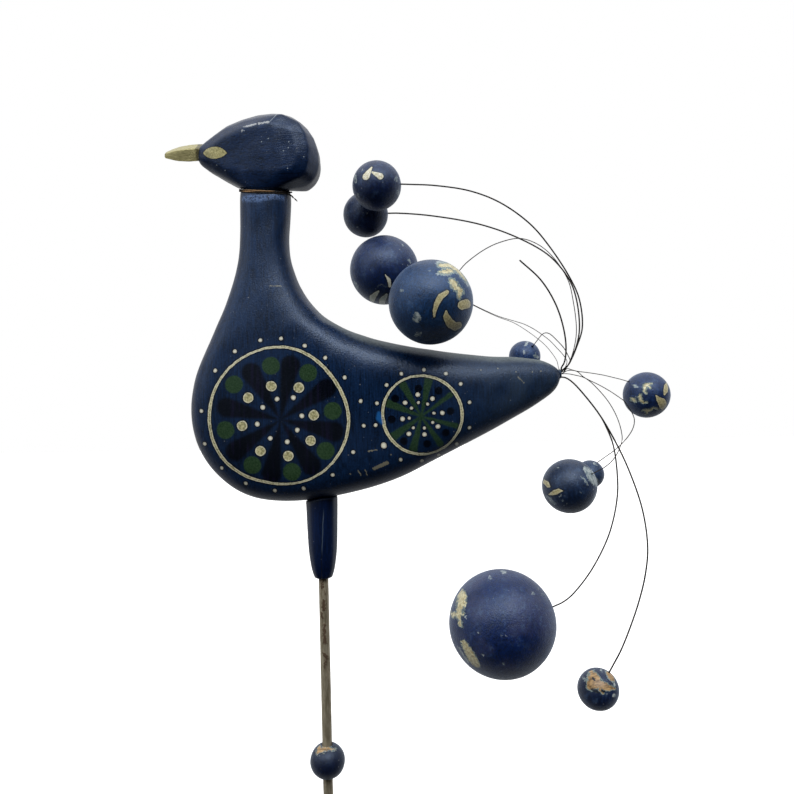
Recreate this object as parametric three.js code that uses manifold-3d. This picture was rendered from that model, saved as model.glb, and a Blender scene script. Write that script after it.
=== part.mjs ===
// A wooden bird garden stake: a bird carved from one board, painted dark blue, on a thin steel rod.
// Its tail is a spray of springy steel wires, and most of them carry a painted wooden ball.
// Millimetres. Z is up along the rod, the bird faces -X, and its painted side faces -Y.
// The origin is the middle of the rod's lower end, where the stake meets the ground.

import * as THREE from 'three';
import { ConvexGeometry } from 'three/addons/geometries/ConvexGeometry.js';
import { mergeVertices } from 'three/addons/utils/BufferGeometryUtils.js';
import Module from 'manifold-3d';

const wasm = await Module();
wasm.setup();

// The gap left between two pieces that touch.
const GAP = 0.3;

// Rod, and the bead that is threaded on it.
const ROD_DIAMETER = 4.9;
const ROD_SIDES = 20;
const BEAD_HEIGHT = 110;
const BEAD_RADIUS = 8.7;

// Leg: the whittled socket between belly and rod. Each step is [height over its lower end, radius].
const LEG_BOTTOM = 201.6;
const LEG_SOCKET_DEPTH = 18;
const LEG_SIDES = 14;
const LEG_STEPS = [[0, 4.1], [1.6, 4.9], [4, 5.7], [9, 6.5], [14, 7.1], [21, 7.4], [39, 7.9], [50, 7.9]];

// Body stations from the neck's top to the tip of the tail. Each is a line across the board, from its
// outer edge (breast and belly) to its inner edge (nape and back), and the board there has:
// [outer x, outer z, inner x, inner z, half the thickness, squareness of the section].
const BODY_STATIONS = [
  [-36.4, 396.5, -12.8, 395.0, 11.0, 2.5],
  [-37.2, 391.5, -12.2, 391.3, 11.9, 2.6],
  [-37.4, 375.0, -12.9, 380.0, 12.0, 2.6],
  [-39.3, 356.0, -13.7, 369.0, 12.8, 2.6],
  [-45.5, 337.0, -12.6, 359.5, 14.2, 2.9],
  [-53.5, 319.0, -9.6, 349.7, 15.8, 3.2],
  [-60.3, 303.0, -5.0, 341.2, 17.0, 3.6],
  [-63.2, 286.6, 1.2, 333.6, 17.8, 3.9],
  [-61.0, 270.5, 9.0, 328.1, 18.0, 4.0],
  [-52.5, 255.7, 18.0, 323.5, 18.0, 4.0],
  [-37.5, 244.0, 29.5, 319.6, 18.0, 4.0],
  [-16.4, 240.2, 43.0, 316.4, 18.0, 4.0],
  [10.0, 242.9, 57.0, 313.9, 17.5, 3.8],
  [36.1, 249.6, 71.0, 311.7, 16.5, 3.5],
  [62.2, 261.8, 85.0, 310.2, 14.8, 3.2],
  [88.5, 274.9, 98.0, 309.4, 11.8, 2.9],
  [107.8, 285.6, 109.8, 307.8, 8.6, 2.6],
  [117.5, 292.6, 117.6, 304.3, 6.0, 2.4],
  [121.0, 300.5, 121.0, 300.5, 0.0, 2.2],
];
const BODY_SIDES = 22;
const RINGS_PER_STATION = 2;
// The neck's top is flat as far out as this share of its width, and the tip of the tail is rounded over
// this many stations.
const NECK_EDGE = 0.93;
const TIP_ROUND_FROM = 0.5;
// The neck's top is cut at a slant: it rises from the painted side to the back by this share of the depth.
// The slant dies out over the first stations.
const NECK_SLANT = 0.286;
const SLANT_STATIONS = 2;
// How square a section is towards its two faces.
const SECTION_DEPTH_POWER = 2.2;

// The hole in the tip of the tail, which all the wires are pushed into.
const TAIL_HOLE = { from: 111, to: 124, z: 300.6, radius: 2.2 };

// Head: a carved egg with flat facets. Its corners lie on three rings, each of them twice, in front of
// its middle plane and behind it. The points go from the beak round over the crown.
const HEAD_HALF_THICKNESS = 15.5;
const HEAD_RIM = [
  [-55.5, 419.0], [-49.9, 423.5], [-43.7, 427.2], [-38.1, 429.5], [-32.1, 431.0], [-26.6, 431.8],
  [-20.9, 432.4], [-15.1, 431.6], [-9.5, 430.1], [-6.1, 428.7], [-2.5, 425.8], [0.8, 420.2],
  [2.2, 413.7], [2.3, 406.9], [0.0, 400.9], [-5.2, 398.1], [-9.5, 397.4], [-40.3, 399.3],
  [-44.2, 401.1], [-49.6, 404.0], [-56.8, 409.4],
];
const HEAD_SHOULDER = [
  [-55.1, 416.3], [-49.6, 421.1], [-42.4, 425.0], [-33.7, 427.6], [-24.1, 429.3], [-15.3, 428.8],
  [-5.0, 425.5], [-2.4, 420.6], [-0.9, 412.8], [-0.8, 406.9], [-2.7, 401.2], [-8.8, 399.6],
  [-35.9, 397.4], [-47.5, 403.5], [-55.0, 409.4],
];
const HEAD_CHEEK = [
  [-51.6, 414.0], [-42.7, 419.7], [-32.7, 423.6], [-19.1, 424.9], [-10.6, 420.6], [-8.4, 415.0],
  [-6.6, 410.1], [-6.0, 402.9], [-10.9, 400.6], [-35.0, 401.8], [-47.1, 407.0],
];
// Each ring, and the share of the half thickness that it lies out.
const HEAD_RINGS = [[HEAD_RIM, 0.28], [HEAD_SHOULDER, 0.66], [HEAD_CHEEK, 1]];
// The head is full at the back and narrows towards the beak.
const HEAD_TAPER = { fromX: -14, toX: -58, share: 0.42 };
// Its flat seat on the neck is a little smaller than the neck's top.
const HEAD_SEAT = { middleX: -24.6, reachX: 11.6, reachY: 10.8, sides: 20 };

// Beak: a whittled peg. Each step is [distance in front of its root, radius].
const BEAK_ROOT_X = -57.4;
const BEAK_Z = 415.1;
const BEAK_SIDES = 8;
const BEAK_STEPS = [[-6, 4.0], [1, 4.3], [8, 3.95], [12.5, 3.05], [15.6, 2.1], [17, 1.1]];
const BEAK_FLATNESS = 0.86;

// Cord round the joint of neck and head: a few turns that end in a loose tail. Its curve has a number of
// points to a turn, and its tube a number of steps in all.
const CORD_DIAMETER = 0.8;
const CORD_TURNS = 2;
const CORD_CLEARANCE = 0.85;
const CORD_PITCH = 0.9;
// Where it starts, as an angle from the nape round to the painted side.
const CORD_START = -0.5;
const CORD_BELOW_TOP = 0.6;
const CORD_POINTS = 20;
const CORD_STEPS = 48;
const CORD_TAIL = [[-10.6, -3.6, 391.9], [-8.6, -2.2, 390.0]];

// Balls: [name, centre x, y, z, radius, where the hole is as a direction from the centre, sides].
const BALLS = [
  ['a', 31.2, -14.3, 392.5, 11.8, [0.99, -0.16, 0], 14],
  ['b', 24.8, 6.6, 384.0, 11.4, [1.0, 0, 0.04], 14],
  ['c', 33.7, 1.3, 354.6, 17.2, [0.93, 0.02, -0.37], 16],
  ['d', 55.5, -22.5, 334.9, 19.9, [0.68, -0.18, 0.71], 18],
  ['e', 105.4, 14.0, 310.4, 8.2, [0.39, -0.71, 0.58], 12],
  ['f', 165.8, 7.0, 289.1, 11.7, [-0.80, -0.10, 0.60], 14],
  ['g', 122.4, -6.6, 245.3, 13.4, [0.70, -0.52, 0.48], 14],
  ['h', 137.1, 10.8, 248.9, 7.3, [0.54, -0.07, 0.84], 12],
  ['i', 87.7, -7.9, 179.0, 26.1, [0.94, -0.10, 0.32], 20],
  ['j', 138.0, 7.5, 139.6, 10.5, [0.52, -0.12, 0.84], 14],
];
const BALL_HOLE_RADIUS = 0.6;
const BALL_HOLE_DEPTH = 4.5;
// A ball's rings from pole to pole, as a share of its sides.
const BALL_RING_SHARE = 0.7;

// Wires: where each sits in the tail's hole, as [y, z] off its middle, and the points that its curve
// passes. One that carries a ball then runs straight into that ball's hole.
const WIRE_DIAMETER = 0.46;
const WIRE_SIDES = 6;
const WIRES = [
  { name: 'a', seat: [-0.8, 1.6], ball: 'a', steps: 24, points: [
    [122.0, -0.8, 302.9], [124.5, -0.8, 305.0], [126.3, -0.8, 308.1], [128.8, -0.9, 313.8],
    [131.8, -1.0, 323.2], [130.5, -1.9, 337.1], [126.3, -2.9, 347.0], [115.7, -5.2, 363.0],
    [105.7, -7.6, 374.1], [90.8, -10.6, 384.1], [76.1, -13.0, 389.4], [59.1, -15.4, 391.7],
    [47.6, -16.7, 392.1]] },
  { name: 'b', seat: [0.8, 1.6], ball: 'b', steps: 24, points: [
    [122.4, 0.8, 302.8], [124.8, 0.8, 305.0], [126.4, 0.8, 308.2], [128.8, 0.9, 313.4],
    [130.9, 1.2, 322.4], [130.0, 1.9, 337.6], [126.8, 2.6, 347.8], [117.5, 3.6, 360.1],
    [102.8, 4.8, 369.6], [82.8, 5.9, 377.6], [57.5, 6.6, 382.8], [41.3, 6.7, 384.4]] },
  { name: 'd', seat: [-1.6, 0.8], ball: 'd', steps: 26, points: [
    [121.7, -1.7, 302.8], [124.0, -1.7, 304.9], [125.6, -1.8, 308.1], [127.3, -2.3, 313.7],
    [128.4, -3.0, 322.1], [126.4, -5.5, 336.7], [123.6, -7.8, 346.2], [115.7, -11.4, 357.0],
    [108.0, -14.4, 362.6], [98.9, -17.6, 365.0], [88.8, -21.2, 362.6], [80.7, -24.0, 358.6],
    [72.0, -26.6, 352.1]] },
  { name: 'c', seat: [1.6, 0.8], ball: 'c', steps: 20, points: [
    [124.5, 1.9, 306.5], [123.0, 2.3, 309.8], [119.8, 2.7, 313.7], [116.4, 3.0, 317.5],
    [112.5, 3.2, 320.7], [108.6, 3.3, 323.5], [103.5, 3.2, 326.2], [99.3, 3.0, 327.6],
    [91.0, 2.8, 330.3], [84.3, 2.6, 333.3], [72.0, 2.2, 339.4]] },
  { name: 'e', seat: [0.8, 0.8], ball: 'e', steps: 18, points: [
    [123.3, 1.4, 302.7], [126.0, 1.7, 307.0], [125.0, 1.9, 310.0], [123.4, 2.8, 313.5],
    [120.2, 4.2, 317.7], [116.7, 5.2, 321.2], [114.6, 5.4, 321.7], [112.7, 5.2, 320.7],
    [110.5, 4.4, 318.2]] },
  { name: 'bare', seat: [0, 1.6], ball: null, steps: 14, points: [
    [121.2, 0.1, 303.6], [122.8, 0.1, 306.5], [123.8, 0.3, 313.5], [122.8, 0.6, 323.6],
    [119.1, 0.6, 335.7], [112.0, 0.2, 347.7], [101.4, -0.5, 357.8]] },
  { name: 'fine', seat: [0, 0.8], ball: null, steps: 18, points: [
    [120.1, 0.9, 303.3], [119.3, 1.4, 307.2], [116.7, 1.6, 311.5], [113.6, 1.7, 315.3],
    [110.2, 1.8, 318.4], [104.2, 1.8, 323.0], [98.0, 1.8, 326.9], [90.8, 1.6, 329.7],
    [84.1, 1.3, 332.8], [75.3, 0.9, 337.3]] },
  { name: 'f', seat: [-0.8, 0], ball: 'f', steps: 14, points: [
    [123.9, -0.9, 303.1], [125.7, -1.1, 302.6], [128.9, -1.0, 301.7], [134.3, -0.6, 300.9],
    [142.6, 2.4, 299.6], [148.6, 4.1, 298.2], [152.7, 5.1, 297.2]] },
  { name: 'g', seat: [0.8, 0], ball: 'g', steps: 22, points: [
    [124.2, 0.9, 302.1], [126.8, 1.2, 302.3], [129.5, 1.1, 301.5], [131.9, 0.8, 299.2],
    [135.4, 0.3, 296.5], [140.3, -0.8, 291.1], [143.7, -1.9, 286.3], [146.1, -3.2, 281.5],
    [147.6, -4.7, 276.9], [148.4, -6.4, 272.1], [148.1, -8.6, 267.4], [145.1, -11.2, 261.7],
    [141.2, -13.8, 257.6], [136.7, -16.0, 254.8]] },
  { name: 'h', seat: [0, 0], ball: 'h', steps: 22, points: [
    [123.9, 0.0, 300.6], [128.4, -0.2, 299.7], [131.5, -0.4, 298.8], [135.2, -0.7, 296.9],
    [140.0, -0.9, 294.4], [145.0, -1.4, 291.3], [149.2, -1.6, 288.3], [151.7, -1.6, 286.3],
    [154.3, -0.8, 282.8], [156.7, 0.6, 279.2], [157.7, 1.8, 276.2], [157.2, 3.3, 272.1],
    [154.0, 5.3, 266.5], [149.3, 8.2, 261.2], [144.5, 9.7, 257.5]] },
  { name: 'i', seat: [-0.8, -1.6], ball: 'i', steps: 26, points: [
    [123.2, -0.9, 298.5], [126.6, -1.0, 296.0], [131.3, -1.4, 290.6], [138.8, -2.4, 280.3],
    [142.0, -3.0, 273.9], [145.2, -3.9, 264.2], [146.4, -5.6, 245.6], [145.2, -6.3, 235.4],
    [141.8, -7.4, 223.4], [137.4, -8.3, 213.9], [130.9, -9.3, 203.5], [124.9, -10.2, 196.3],
    [120.6, -10.7, 192.1], [116.5, -11.0, 189.4]] },
  { name: 'j', seat: [0.8, -1.6], ball: 'j', steps: 26, points: [
    [123.6, 0.8, 298.5], [127.0, 0.9, 296.1], [132.0, 1.2, 290.6], [139.9, 1.8, 280.2],
    [146.6, 2.3, 268.8], [154.3, 2.9, 252.5], [161.3, 3.4, 231.1], [163.5, 3.4, 211.9],
    [161.9, 3.2, 198.3], [158.7, 3.4, 185.7], [154.4, 3.9, 173.0], [149.3, 4.7, 160.2],
    [145.6, 5.3, 153.0]] },
];

// Paint, wood and metal, as [colour, roughness, metalness].
const FINISHES = {
  bluePaint: ['#1f2a48', 0.5, 0],
  ballPaint: ['#2f3b66', 0.45, 0],
  goldPaint: ['#a39a68', 0.45, 0.3],
  steel: ['#87806f', 0.5, 0.8],
  wire: ['#1c1b1a', 0.45, 0.9],
  cord: ['#4b3524', 0.9, 0],
};

const MATERIALS = {};
for (const [name, [color, roughness, metalness]] of Object.entries(FINISHES)) {
  MATERIALS[name] = new THREE.MeshStandardMaterial({ name, color, roughness, metalness });
}

const part = new THREE.Group();

function addPiece(name, geometry, finish, parent = part) {
  const mesh = new THREE.Mesh(geometry, MATERIALS[finish]);
  mesh.name = name;
  parent.add(mesh);
  return mesh;
}

// A closed geometry as a solid that can be cut and joined.
function solidOf(geometry) {
  const bare = geometry.clone();
  bare.deleteAttribute('normal');
  bare.deleteAttribute('uv');
  const merged = mergeVertices(bare, 1e-4);
  return new wasm.Manifold(new wasm.Mesh({
    numProp: 3,
    vertProperties: new Float32Array(merged.attributes.position.array),
    triVerts: new Uint32Array(merged.index.array),
  }));
}

function geometryOf(solid) {
  const mesh = solid.getMesh();
  const geometry = new THREE.BufferGeometry();
  geometry.setAttribute('position', new THREE.BufferAttribute(new Float32Array(mesh.vertProperties), 3));
  geometry.setIndex(new THREE.BufferAttribute(new Uint32Array(mesh.triVerts), 1));
  geometry.computeVertexNormals();
  return geometry;
}

// A rod of the given radius between two points.
function drill(from, to, radius, sides) {
  const length = from.distanceTo(to);
  const geometry = new THREE.CylinderGeometry(radius, radius, length, sides);
  const axis = to.clone().sub(from).normalize();
  const turn = new THREE.Quaternion().setFromUnitVectors(new THREE.Vector3(0, 1, 0), axis);
  geometry.applyQuaternion(turn);
  const middle = from.clone().add(to).multiplyScalar(0.5);
  geometry.translate(middle.x, middle.y, middle.z);
  return solidOf(geometry);
}

// A round piece turned about the Z axis, from a closed profile of [height, radius] points.
function turned(profile, sides) {
  const geometry = new THREE.LatheGeometry(profile.map(([h, r]) => new THREE.Vector2(r, h)), sides);
  geometry.rotateX(Math.PI / 2);
  return geometry;
}

// A tube along a curve, made from a regular outline.
function tube(curve, diameter, sides, steps) {
  const outline = new THREE.Shape();
  for (let i = 0; i < sides; i += 1) {
    const angle = (2 * Math.PI * i) / sides;
    const point = [Math.cos(angle) * diameter / 2, Math.sin(angle) * diameter / 2];
    if (i === 0) outline.moveTo(...point);
    else outline.lineTo(...point);
  }
  outline.closePath();
  return new THREE.ExtrudeGeometry(outline, { steps, extrudePath: curve, curveSegments: 1 });
}

// One coordinate of a superellipse.
function bend(value, power) {
  return Math.sign(value) * Math.abs(value) ** power;
}

// The body is a sphere whose rings are laid along the stations: each ring becomes a rounded, flattish
// section of the board, the first pole is the middle of the neck's top and the last is the tail's tip.
function bodyGeometry() {
  const column = (i, j = i + 1) => new THREE.SplineCurve(
    BODY_STATIONS.map((s) => new THREE.Vector2(s[i], s[j])));
  const outer = column(0);
  const inner = column(2);
  const board = column(4);
  const rings = (BODY_STATIONS.length - 1) * RINGS_PER_STATION + 2;
  const geometry = new THREE.SphereGeometry(1, BODY_SIDES, rings);
  const position = geometry.attributes.position;
  for (let i = 0; i < position.count; i += 1) {
    const ring = Math.floor(i / (BODY_SIDES + 1));
    const angle = (2 * Math.PI * (i % (BODY_SIDES + 1))) / BODY_SIDES;
    const along = Math.max(0, ring - 2) / (rings - 2);
    let share = ring === 0 ? 0 : 1;
    if (ring === 1) share = NECK_EDGE;
    const from = outer.getPoint(along);
    const to = inner.getPoint(along);
    const [half, square] = board.getPoint(along).toArray();
    const lastStation = BODY_STATIONS.length - 1;
    const end = Math.min(1, ((1 - along) * lastStation) / TIP_ROUND_FROM);
    const thick = Math.max(half, 0) * Math.sqrt(1 - (1 - end) ** 2);
    const across = share * bend(Math.cos(angle), 2 / square);
    const deep = share * thick * bend(Math.sin(angle), 2 / SECTION_DEPTH_POWER);
    const middle = from.clone().add(to).multiplyScalar(0.5);
    const reach = to.clone().sub(from).multiplyScalar(0.5 * across);
    const slant = NECK_SLANT * deep * Math.max(0, 1 - (along * lastStation) / SLANT_STATIONS);
    position.setXYZ(i, middle.x + reach.x, deep, middle.y + reach.y + slant);
  }
  return geometry;
}

// Height of the neck's slanted top over a point.
function neckTop(x, y) {
  const [outerX, outerZ, innerX, innerZ] = BODY_STATIONS[0];
  return outerZ + ((x - outerX) * (innerZ - outerZ)) / (innerX - outerX) + NECK_SLANT * y;
}

// The faceted head: the hull round its rings and its seat.
function headGeometry() {
  const corners = [];
  for (const [ring, share] of HEAD_RINGS) {
    for (const [x, z] of ring) {
      const along = THREE.MathUtils.clamp(
        (x - HEAD_TAPER.fromX) / (HEAD_TAPER.toX - HEAD_TAPER.fromX), 0, 1);
      const half = HEAD_HALF_THICKNESS * share * (1 - (1 - HEAD_TAPER.share) * along);
      corners.push(new THREE.Vector3(x, half, z), new THREE.Vector3(x, -half, z));
    }
  }
  const { middleX, reachX, reachY, sides } = HEAD_SEAT;
  const square = BODY_STATIONS[0][5];
  for (let i = 0; i < sides; i += 1) {
    const angle = (2 * Math.PI * i) / sides;
    const x = middleX + reachX * bend(Math.cos(angle), 2 / square);
    const y = reachY * bend(Math.sin(angle), 2 / SECTION_DEPTH_POWER);
    corners.push(new THREE.Vector3(x, y, neckTop(x, y) + GAP));
  }
  return new ConvexGeometry(corners);
}

// Everything below the neck's top, cut off along its slant.
function blockBelowNeckTop() {
  const size = 120;
  const geometry = new THREE.BoxGeometry(size, size, size);
  geometry.translate(HEAD_SEAT.middleX, 0, 0);
  const position = geometry.attributes.position;
  for (let i = 0; i < position.count; i += 1) {
    const [x, y, up] = [position.getX(i), position.getY(i), position.getZ(i) > 0];
    position.setZ(i, neckTop(x, y) + (up ? GAP : -size));
  }
  return solidOf(geometry);
}

// Body, with the wires' hole in the tip of its tail.
const bodyBlank = solidOf(bodyGeometry());
const tailHole = drill(
  new THREE.Vector3(TAIL_HOLE.from, 0, TAIL_HOLE.z),
  new THREE.Vector3(TAIL_HOLE.to, 0, TAIL_HOLE.z), TAIL_HOLE.radius, 12);
addPiece('body', geometryOf(bodyBlank.subtract(tailHole)), 'bluePaint');

// Head, seated on the neck's top.
const headSolid = solidOf(headGeometry()).subtract(blockBelowNeckTop());
addPiece('head', geometryOf(headSolid), 'bluePaint');

// Beak, fitted to the front of the head.
function beakGeometry() {
  const tip = BEAK_STEPS[BEAK_STEPS.length - 1][0] + 0.3;
  const geometry = turned([[BEAK_STEPS[0][0], 0], ...BEAK_STEPS, [tip, 0]], BEAK_SIDES);
  geometry.rotateZ(Math.PI / BEAK_SIDES);
  geometry.scale(1, BEAK_FLATNESS, 1);
  geometry.rotateY(-Math.PI / 2);
  geometry.translate(BEAK_ROOT_X, 0, BEAK_Z);
  return geometry;
}
const beakSolid = solidOf(beakGeometry()).subtract(headSolid.translate([-GAP, 0, 0]));
addPiece('beak', geometryOf(beakSolid), 'goldPaint');

// Cord round the neck: a flat helix that hugs the neck and leaves in a loose tail.
function cordCurve() {
  const [outerX, , innerX, , half, square] = BODY_STATIONS[0];
  const clear = CORD_CLEARANCE + CORD_DIAMETER / 2;
  const middle = (outerX + innerX) / 2;
  const reachX = (innerX - outerX) / 2 + clear;
  const reachY = half + clear;
  const count = CORD_POINTS * CORD_TURNS;
  const points = [];
  for (let i = 0; i <= count; i += 1) {
    const angle = CORD_START + (2 * Math.PI * CORD_TURNS * i) / count;
    const drop = CORD_BELOW_TOP + (CORD_PITCH * CORD_TURNS * i) / count;
    const x = middle + reachX * bend(Math.cos(angle), 2 / square);
    const y = reachY * bend(Math.sin(angle), 2 / SECTION_DEPTH_POWER);
    points.push(new THREE.Vector3(x, y, neckTop(x, y) - drop));
  }
  for (const tailPoint of CORD_TAIL) points.push(new THREE.Vector3(...tailPoint));
  return new THREE.CatmullRomCurve3(points);
}
addPiece('neck_binding', tube(cordCurve(), CORD_DIAMETER, 6, CORD_STEPS), 'cord');

// Leg, coped to the belly above and bored for the rod below.
function legSolid() {
  const top = LEG_STEPS[LEG_STEPS.length - 1][0];
  const geometry = turned([[0, 0], ...LEG_STEPS, [top, 0]], LEG_SIDES);
  geometry.translate(0, 0, LEG_BOTTOM);
  const socket = drill(
    new THREE.Vector3(0, 0, LEG_BOTTOM - 1),
    new THREE.Vector3(0, 0, LEG_BOTTOM + LEG_SOCKET_DEPTH + GAP), ROD_DIAMETER / 2 + GAP, ROD_SIDES);
  return solidOf(geometry).subtract(bodyBlank.translate([0, 0, -GAP])).subtract(socket);
}
addPiece('leg', geometryOf(legSolid()), 'bluePaint');

// Rod, from the ground into the leg.
const rodLength = LEG_BOTTOM + LEG_SOCKET_DEPTH;
const rodGeometry = new THREE.CylinderGeometry(ROD_DIAMETER / 2, ROD_DIAMETER / 2, rodLength, ROD_SIDES);
rodGeometry.rotateX(Math.PI / 2);
const rod = addPiece('rod', rodGeometry, 'steel');
rod.position.z = rodLength / 2;

// Bead: a ball bored right through for the rod.
function beadGeometry() {
  const bore = ROD_DIAMETER / 2 + GAP;
  const start = Math.asin(bore / BEAD_RADIUS);
  const steps = 9;
  const profile = [];
  for (let i = 0; i <= steps; i += 1) {
    const angle = start + ((Math.PI - 2 * start) * i) / steps;
    profile.push([-BEAD_RADIUS * Math.cos(angle), BEAD_RADIUS * Math.sin(angle)]);
  }
  profile.push(profile[0]);
  return turned(profile, ROD_SIDES);
}
const bead = addPiece('rod_bead', beadGeometry(), 'ballPaint');
bead.position.z = BEAD_HEIGHT;

// Balls of the tail, each drilled where its wire arrives and in the wire's direction.
const tailBalls = new THREE.Group();
part.add(tailBalls);
const ballHoles = {};
for (const [name, x, y, z, radius, towards, sides] of BALLS) {
  const centre = new THREE.Vector3(x, y, z);
  const mouth = centre.clone().addScaledVector(new THREE.Vector3(...towards).normalize(), radius);
  const lastPoint = WIRES.find((wire) => wire.ball === name).points.at(-1);
  const axis = new THREE.Vector3(...lastPoint).sub(mouth).normalize();
  const at = (distance) => mouth.clone().addScaledVector(axis, distance);
  const geometry = new THREE.SphereGeometry(radius, sides, Math.round(sides * BALL_RING_SHARE));
  geometry.translate(x, y, z);
  const hole = drill(at(-BALL_HOLE_DEPTH), at(1.5), BALL_HOLE_RADIUS, 8);
  addPiece(`ball_${name}`, geometryOf(solidOf(geometry).subtract(hole)), 'ballPaint', tailBalls);
  ballHoles[name] = [at(1), at(0), at(GAP - BALL_HOLE_DEPTH)];
}

// Wires of the tail.
const tailWires = new THREE.Group();
part.add(tailWires);
for (const { name, seat, ball, points, steps } of WIRES) {
  const [y, dz] = seat;
  const route = [
    new THREE.Vector3(TAIL_HOLE.from + GAP + 1, y, TAIL_HOLE.z + dz),
    new THREE.Vector3(TAIL_HOLE.to - 3, y, TAIL_HOLE.z + dz),
    ...points.map((point) => new THREE.Vector3(...point)),
  ];
  if (ball !== null) route.push(...ballHoles[ball]);
  const curve = new THREE.CatmullRomCurve3(route);
  addPiece(`wire_${name}`, tube(curve, WIRE_DIAMETER, WIRE_SIDES, steps), 'wire', tailWires);
}

export default part;
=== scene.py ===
# %% [markdown]
# # A wooden bird on a garden stake
#
# The real thing is a bird sawn and carved from one board and painted dark blue. It stands on a steel
# rod, and its tail is a spray of springy wires with painted wooden balls.
# The CAD model gives every piece its place. This script dresses it piece by piece: first the shape,
# then the finish. All numbers for shapes are in millimetres, and a piece is made metres when it is done.

# %% The frame
import math
from functools import reduce

import bmesh
import bpy
from mathutils import Matrix, Vector, noise
from mathutils.bvhtree import BVHTree


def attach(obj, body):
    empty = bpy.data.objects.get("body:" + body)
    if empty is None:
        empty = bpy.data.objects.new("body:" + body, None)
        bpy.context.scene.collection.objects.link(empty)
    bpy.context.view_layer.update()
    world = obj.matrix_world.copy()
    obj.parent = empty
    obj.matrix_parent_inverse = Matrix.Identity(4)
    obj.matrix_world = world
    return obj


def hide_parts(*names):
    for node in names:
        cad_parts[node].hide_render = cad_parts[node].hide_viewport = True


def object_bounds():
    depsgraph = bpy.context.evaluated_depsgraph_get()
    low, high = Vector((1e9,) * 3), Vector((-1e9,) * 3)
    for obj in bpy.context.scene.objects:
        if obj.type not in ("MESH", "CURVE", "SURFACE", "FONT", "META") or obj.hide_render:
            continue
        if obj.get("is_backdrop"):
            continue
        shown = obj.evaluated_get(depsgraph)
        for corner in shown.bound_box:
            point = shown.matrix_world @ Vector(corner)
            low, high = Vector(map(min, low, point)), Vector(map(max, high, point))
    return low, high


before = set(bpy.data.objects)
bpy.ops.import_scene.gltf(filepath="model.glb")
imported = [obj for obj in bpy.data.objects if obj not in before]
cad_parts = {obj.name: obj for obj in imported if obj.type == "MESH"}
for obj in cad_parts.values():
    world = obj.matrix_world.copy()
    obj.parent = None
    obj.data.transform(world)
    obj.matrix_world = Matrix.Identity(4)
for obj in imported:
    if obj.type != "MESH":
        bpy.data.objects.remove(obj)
cad_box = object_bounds()
MM = 0.001
print("CAD nodes:", len(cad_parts))
print("box in mm:", [round(c / MM, 1) for p in cad_box for c in p])


# %% Objects
def add_object(name, data):
    made = bpy.data.objects.new(name, data)
    bpy.context.scene.collection.objects.link(made)
    return made


def mesh_object(name, bm):
    """An object with the bmesh as its mesh. The bmesh is used up."""
    mesh = bpy.data.meshes.new(name)
    bm.to_mesh(mesh)
    bm.free()
    return add_object(name, mesh)


# %% [markdown]
# ## The camera
#
# The photograph was taken straight at the painted side. A pinhole camera that looks along +Y, with the
# rod leaning a little in the picture, gives its view. The lean belongs to the camera, not to the rod,
# so the camera is rolled about its own line of sight.

# %% Camera
CAMERA_DISTANCE = 365
CAMERA_PLACE = Vector((38.695, -CAMERA_DISTANCE, 290.841)) * MM
CAMERA_ROLL = math.radians(1.263)
SENSOR_WIDTH = 36
# The picture is 794 pixels of half a millimetre wide, in the plane through the rod.
PICTURE_WIDTH = 794 * 0.5
camera = add_object("camera", bpy.data.cameras.new("camera"))
camera.data.sensor_width = SENSOR_WIDTH
camera.data.lens = SENSOR_WIDTH * CAMERA_DISTANCE / PICTURE_WIDTH
right = Vector((math.cos(CAMERA_ROLL), 0, -math.sin(CAMERA_ROLL)))
up = Vector((math.sin(CAMERA_ROLL), 0, math.cos(CAMERA_ROLL)))
turn = Matrix((right, up, right.cross(up))).transposed()
camera.matrix_world = Matrix.Translation(CAMERA_PLACE) @ turn.to_4x4()
bpy.context.scene.camera = camera
print("lens in mm:", round(camera.data.lens, 2))

# %% [markdown]
# ## Shader maths as Python
#
# A material is a tree of nodes. Written out node by node it gets long, so two small classes help.
# `Signal` wraps one output socket, and adding or multiplying signals adds Math nodes to the tree.
# `Finish` is one material: it adds any node by its type, mixes colours, and draws simple shapes.


# %% The Signal class
class Signal:
    """The output of a node. Python's operators on it add Math nodes."""

    def __init__(self, finish, socket):
        self.finish = finish
        self.socket = socket

    def math(self, operation, *values):
        return self.finish.node("Math", dict(enumerate(values)), operation=operation)

    def __add__(self, other):
        return self.math("ADD", self, other)

    def __sub__(self, other):
        return self.math("SUBTRACT", self, other)

    def __rsub__(self, other):
        return self.math("SUBTRACT", other, self)

    def __mul__(self, other):
        return self.math("MULTIPLY", self, other)

    def __truediv__(self, other):
        return self.math("DIVIDE", self, other)

    def __gt__(self, other):
        return self.math("GREATER_THAN", self, other)

    __radd__ = __add__
    __rmul__ = __mul__

    def sibling(self, out):
        """Another output of the same node."""
        return Signal(self.finish, self.socket.node.outputs[out])

    def least(self, other):
        return self.math("MINIMUM", self, other)

    def most(self, other):
        return self.math("MAXIMUM", self, other)

    def size(self):
        """The signal without its sign."""
        return self.math("ABSOLUTE", self)

    def cosine(self):
        return self.math("COSINE", self)

    def fade(self, low, high):
        """0 where the signal is low, 1 where it is high, smooth between. Low may be the higher one."""
        rise = self.finish.node("MapRange", {0: self, 1: min(low, high), 2: max(low, high)},
                                interpolation_type="SMOOTHSTEP", clamp=True)
        return rise if low < high else 1 - rise


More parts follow.
